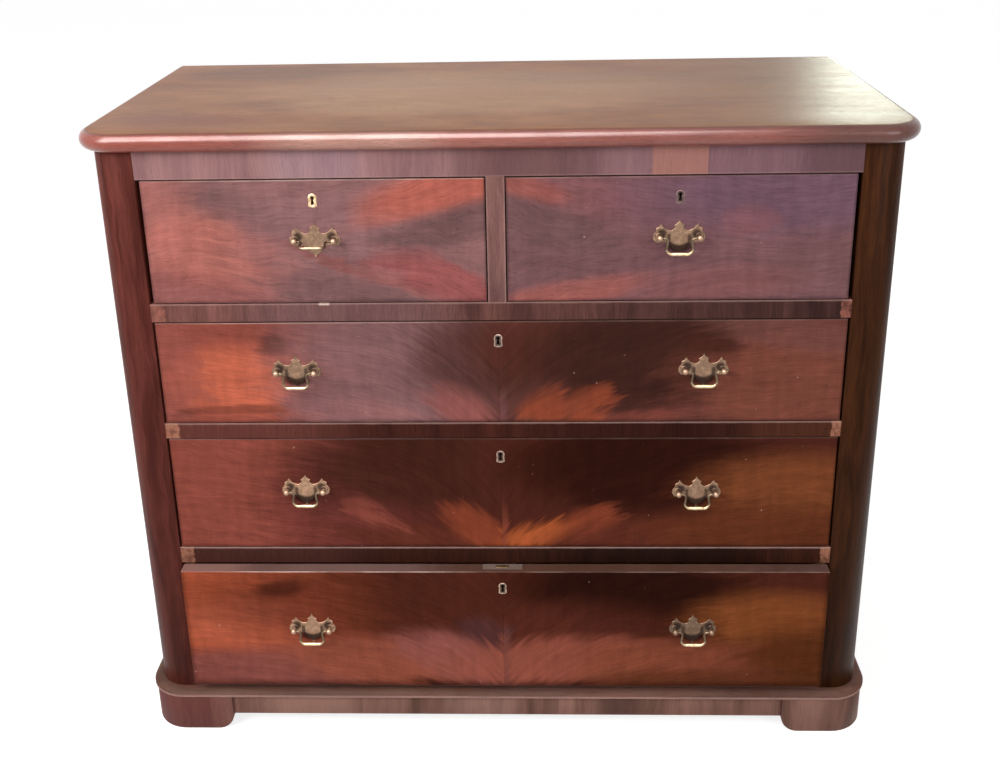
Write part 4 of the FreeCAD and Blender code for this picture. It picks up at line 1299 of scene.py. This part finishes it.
def post_stations(face):
    """The profile of a post from its tail to the crown of its ball: depths and radii."""
    seat = face - PLATE_THICKNESS
    pin = face - PIN_REACH
    stations = [(face + 0.028, 0.0016), (face + 0.0275, SHANK), (seat, SHANK), (seat, COLLAR)]
    for step in range(1, COLLAR_STEPS + 1):
        angle = math.pi / 2 * step / COLLAR_STEPS
        stations.append((seat - 0.0024 * math.sin(angle), 0.0036 + 0.0026 * math.cos(angle)))
    stations.append((seat - 0.0036, WAIST))
    start = math.asin(WAIST / BALL)
    for step in range(BALL_STEPS + 1):
        angle = start + (math.pi - 0.06 - start) * step / BALL_STEPS
        stations.append((pin + BALL * math.cos(angle), BALL * math.sin(angle)))
    return stations


def lathe(shape, centre, stations):
    """A turned piece along Y."""
    rings = []
    for y, radius in stations:
        circle = [(radius * math.cos(angle), radius * math.sin(angle)) for angle in lathe_angles]
        rings.append([Vector((centre[0] + x, y, centre[2] + z)) for x, z in circle])
    shape.rings(rings)


def nut(shape, centre, face):
    """A square nut with its corners taken off."""
    rings = []
    for depth, share in NUT_LEVELS:
        size = NUT_HALF * share
        ring = []
        for sx, sz in ((1, 1), (-1, 1), (-1, -1), (1, -1)):
            pair = [(sx * size, sz * (size - NUT_BITE)), (sx * (size - NUT_BITE), sz * size)]
            if sx * sz < 0:
                pair.reverse()
            ring += [Vector((centre[0] + x, face + depth, centre[2] + z)) for x, z in pair]
        rings.append(ring)
    shape.rings(rings)


print("posts have", len(post_stations(0)), "circles")

# %% [markdown]
# ## The pulls
# Painted shade lies round and above the posts of a plate, and where its bail hangs over it.
# The balls of the posts are paler at the front, partly rubbed by fingers and partly a painted
# highlight. Two masks say where. Some pulls are paler or duller than the others.

# %% Make the pulls
NECK = 0.0165
PULL_TONES = {"middle_long_left_pull": (1.18, 0.75), "middle_long_right_pull": (1.02, 0.6),
              "lower_long_left_pull": (1.16, 0.75), "lower_long_right_pull": (0.84, 0.2)}
PLATE_DULL = (124, 98, 79)
PLATE_BRIGHT = (152, 122, 99)


def from_pin(bench, pin):
    """A point's place across, out from and up from the middle of a pull's pin axis."""
    return bench.split(bench.vector("SUBTRACT", bench.spot(), tuple(pin)))


def plate_shade(pin, covered):
    """Painted shade round and above the posts and, where the bail hangs over it, along the arms and at the
    foot of a plate.
    """
    def mask(bench):
        x, y, z = from_pin(bench, pin)
        out = bench.gap(x)
        beside = bench.less(out, POST_SPACING / 2 - 0.004)
        away = bench.vector("LENGTH", bench.join(beside, 0.0, bench.less(z, 0.004)))
        # Painted shade round and above each post.
        ring = bench.remap(away, 0.0040, 0.0095, 0.85, 0.0)
        arm = bench.times(bench.remap(bench.gap(out, NECK - 0.0015), 0.0012, 0.0042, 0.75, 0.0),
                          bench.remap(z, 0.001, 0.006, 1.0, 0.0))
        bowed = bench.scaled(bench.times(x, x), -31.0, z)
        foot = bench.times(bench.remap(bowed, -0.0160, -0.0105, 0.95, 0.0),
                           bench.remap(z, -0.0270, -0.0240, 0.0, 1.0),
                           bench.remap(out, 0.014, 0.018, 1.0, 0.0))
        shadow = bench.times(bench.math("MAXIMUM", arm, foot), covered)
        on_plate = bench.math("GREATER_THAN", y, PIN_REACH / 2)
        return bench.times(bench.math("MAXIMUM", ring, shadow), on_plate)
    return mask


def post_crowns(pin, share):
    """The fronts of the balls of the posts, paler partly from fingers and partly as a painted highlight."""
    def mask(bench):
        return bench.remap(from_pin(bench, pin)[1], -0.004, 0.004, share, 0.0)
    return mask


for bail, joint in swings.items():
    pin = Vector(joint["pos_m"])
    drawer = joint["parent"].replace("_drawer", "")
    face = pin[1] + PIN_REACH
    front = face - PLATE_THICKNESS
    shape = Shape()
    shape.rings([plate_ring(pin, face, 0), plate_ring(pin, front + PLATE_ARRIS, 0),
                 plate_ring(pin, front, PLATE_ARRIS)])
    for side in (-1, 1):
        centre = pin + Vector((side * POST_SPACING / 2, 0, 0))
        lathe(shape, centre, post_stations(face))
        nut(shape, centre, face)
    name = bail.replace("_bail", "_pull")
    level, crown = PULL_TONES.get(name, (1.0, 0.75))
    dull, bright = [tone(*[level * value for value in paint]) for paint in (PLATE_DULL, PLATE_BRIGHT)]
    plate_brass = brass(name + "_brass", dull, bright, 0.55, 0.55,
                        tarnish=plate_shade(pin, bail not in RAISED), handled_highlight=post_crowns(pin, crown))
    new_piece(name, shape, plate_brass, joint["parent"], drawer + "_pulls")
print("pulls:", len(swings))

# %% [markdown]
# ## Bails
# A bail is a bent rod with a swelling grip. Its path is straight runs with round bends, and a
# circle is carried along it, thicker where the hand goes. A thin pin at each end enters
# the post. The bail on the left short drawer has stiffened and stands out, so it is made in
# the turned position, and its brass is painted darker, as shade.

# %% Make the bails
HIP = 0.0205
DROP = 0.0242
ROD = 0.0017
GRIP = 0.0028
SHOULDER = POST_SPACING / 2 - BALL - 0.0004
BENDS = (0.005, 0.0080)
BEND_STEPS = 8
GRIP_STEPS = 6
PIN_STATIONS = ((SHOULDER + 0.0034, 0.00105), (SHOULDER + 0.0003, 0.00105), (SHOULDER + 0.0003, 0.0014))
ROD_SIDES = 14
ALONG_X = Vector((1, 0, 0))
ALONG_Y = Vector((0, 1, 0))
BAIL_TONES = (tone(172, 146, 116), tone(222, 196, 156))
# The raised bail's brass is painted darker, as shade.
RAISED_SHADED_TONES = (tone(132, 108, 86), tone(172, 146, 118))


def rounded_path(corners, radii):
    """Points along straight runs whose corners are rounded."""
    path = [corners[0]]
    for before, corner, after, radius in zip(corners, corners[1:], corners[2:], radii):
        back = (before - corner).normalized()
        ahead = (after - corner).normalized()
        half_turn = back.angle(ahead) / 2
        reach = radius / math.tan(half_turn)
        centre = corner + (back + ahead).normalized() * (radius / math.sin(half_turn))
        first = corner + back * reach - centre
        last = corner + ahead * reach - centre
        sweep = first.angle(last)
        for step in range(BEND_STEPS + 1):
            t = step / BEND_STEPS
            swung = math.sin((1 - t) * sweep) * first + math.sin(t * sweep) * last
            path.append(centre + swung / math.sin(sweep))
    return path + [corners[-1]]


def bail_rings():
    """Rings along a hanging bail from its left pin to its right, about its pin axis."""
    corners = [Vector((x, 0, z)) for x, z in ((-SHOULDER, 0), (-NECK, 0), (-HIP, -DROP), (0, -DROP))]
    path = rounded_path(corners, BENDS)[:-1]
    last_bend = path[-1]
    path += [last_bend.lerp(corners[-1], step / GRIP_STEPS) for step in range(1, GRIP_STEPS + 1)]
    path += [Vector((-p[0], 0, p[2])) for p in reversed(path[:-1])]
    stations = [(Vector((-x, 0, 0)), ALONG_X, radius) for x, radius in PIN_STATIONS]
    for index, place in enumerate(path):
        heading = (path[min(index + 1, len(path) - 1)] - path[max(index - 1, 0)]).normalized()
        low_share = max(0.0, min(1.0, -place[2] / DROP * 2 - 1))
        swelling = (GRIP - ROD) * low_share * max(0.0, 1 - (place[0] / HIP) ** 2)
        stations.append((place, heading, ROD + swelling))
    stations += [(Vector((x, 0, 0)), ALONG_X, radius) for x, radius in reversed(PIN_STATIONS)]
    angles = [2 * math.pi * index / ROD_SIDES for index in range(ROD_SIDES)]
    rings = []
    for place, heading, radius in stations:
        aside = ALONG_Y.cross(heading)
        rings.append([place + radius * (math.cos(a) * aside + math.sin(a) * ALONG_Y) for a in angles])
    return rings


def bail_shade(pin):
    """Painted shade on the arms of a bail; only its grip is left bright."""
    def mask(bench):
        x, y, z = from_pin(bench, pin)
        arms = bench.remap(bench.vector("LENGTH", bench.join(0.0, y, z)), 0.0150, 0.0225, 0.8, 0.0)
        return bench.math("MAXIMUM", arms, bench.remap(bench.gap(x), 0.010, 0.019, 0.0, 0.55))
    return mask


hanging = bail_rings()
for bail, joint in swings.items():
    pin = Vector(joint["pos_m"])
    turn = Matrix.Rotation(RAISED.get(bail, 0.0), 4, Vector((-1, 0, 0)))
    shape = Shape()
    shape.rings([[pin + turn @ point for point in ring] for ring in hanging])
    dull, bright = RAISED_SHADED_TONES if bail in RAISED else BAIL_TONES
    bail_brass = brass(bail + "_brass", dull, bright, 0.7, 0.4, tarnish=bail_shade(pin))
    new_piece(bail.replace("_bail", "_swan_neck"), shape, bail_brass, bail, bail)
print("bails:", len(swings))

# %% [markdown]
# ## Keyhole threads
# A brass thread lines each keyhole. It is a ring between two keyhole outlines, crowned a
# little, so it takes a line of light.

# %% Make the threads
FOOT_STEPS = 6
BOW_STEPS = 22
BOW = 0.0064
OUTER = (BOW, 0.0116, 0.0130, 0.0124, 0.0022)
INNER = (0.0029, 0.0030, 0.0054, 0.0096, 0.0012)
CROWN = ((0, 0.0004), (0.12, 0.0001), (0.5, 0.0), (0.88, 0.0001), (1, 0.0004))
HOLE_HALF = 0.0046
HOLE_RISE = 0.0086
THREAD_TONES = {
    "short_left": (tone(200, 168, 126), tone(238, 208, 166), 0.0),
    "short_right": (tone(104, 84, 82), tone(132, 108, 104), 0.5),
    "upper_long": (tone(150, 128, 118), tone(184, 160, 144), 0.8),
    "middle_long": (tone(156, 130, 118), tone(190, 162, 144), 0.8),
    "lower_long": (tone(158, 134, 116), tone(196, 170, 144), 0.8),
}


def worn_thread(x, z, share):
    """Dark towards the hole, where the key has rubbed dirt in."""
    def mask(bench):
        place = bench.split(bench.spot())
        across = bench.math("DIVIDE", bench.gap(place[0], x), HOLE_HALF)
        along = bench.math("DIVIDE", bench.gap(place[2], z), HOLE_RISE)
        return bench.remap(bench.math("MAXIMUM", across, along), 0.85, 1.1, share, 0.0)
    return mask


def keyhole(x, z, bow, waist, foot, skirt, sag):
    """A keyhole outline: a round bow over a skirt that flares to its foot."""
    turn = math.acos(waist / 2 / bow)
    points = []
    for step in range(FOOT_STEPS + 1):
        t = step / FOOT_STEPS * 2 - 1
        points.append(Vector((x - t * foot / 2, 0, z - skirt - sag * (1 - t * t))))
    for step in range(BOW_STEPS + 1):
        angle = math.pi + turn - (math.pi + 2 * turn) * step / BOW_STEPS
        points.append(Vector((x + bow * math.cos(angle), 0, z + bow * math.sin(angle))))
    return points


for drawer in DRAWERS:
    low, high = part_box(drawer + "_escutcheon")
    middle = (low + high) / 2
    outer = keyhole(middle[0], high[2] - BOW, *OUTER)
    inner = keyhole(middle[0], high[2] - BOW, *INNER)
    levels = [(0, high[1])] + [(share, low[1] + back) for share, back in CROWN] + [(1, high[1])]
    rings = [[a.lerp(b, share) + y * ALONG_Y for a, b in zip(outer, inner)] for share, y in levels]
    shape = Shape()
    shape.rings(rings + rings[:1], caps=False)
    dull, bright, dirty = THREAD_TONES[drawer]
    thread_brass = brass(drawer + "_thread_brass", dull, bright, 0.6, 0.4,
                         tarnish=worn_thread(middle[0], middle[2], dirty))
    new_piece(drawer + "_thread", shape, thread_brass, drawer + "_drawer", drawer + "_escutcheon")
print("threads:", len(DRAWERS))
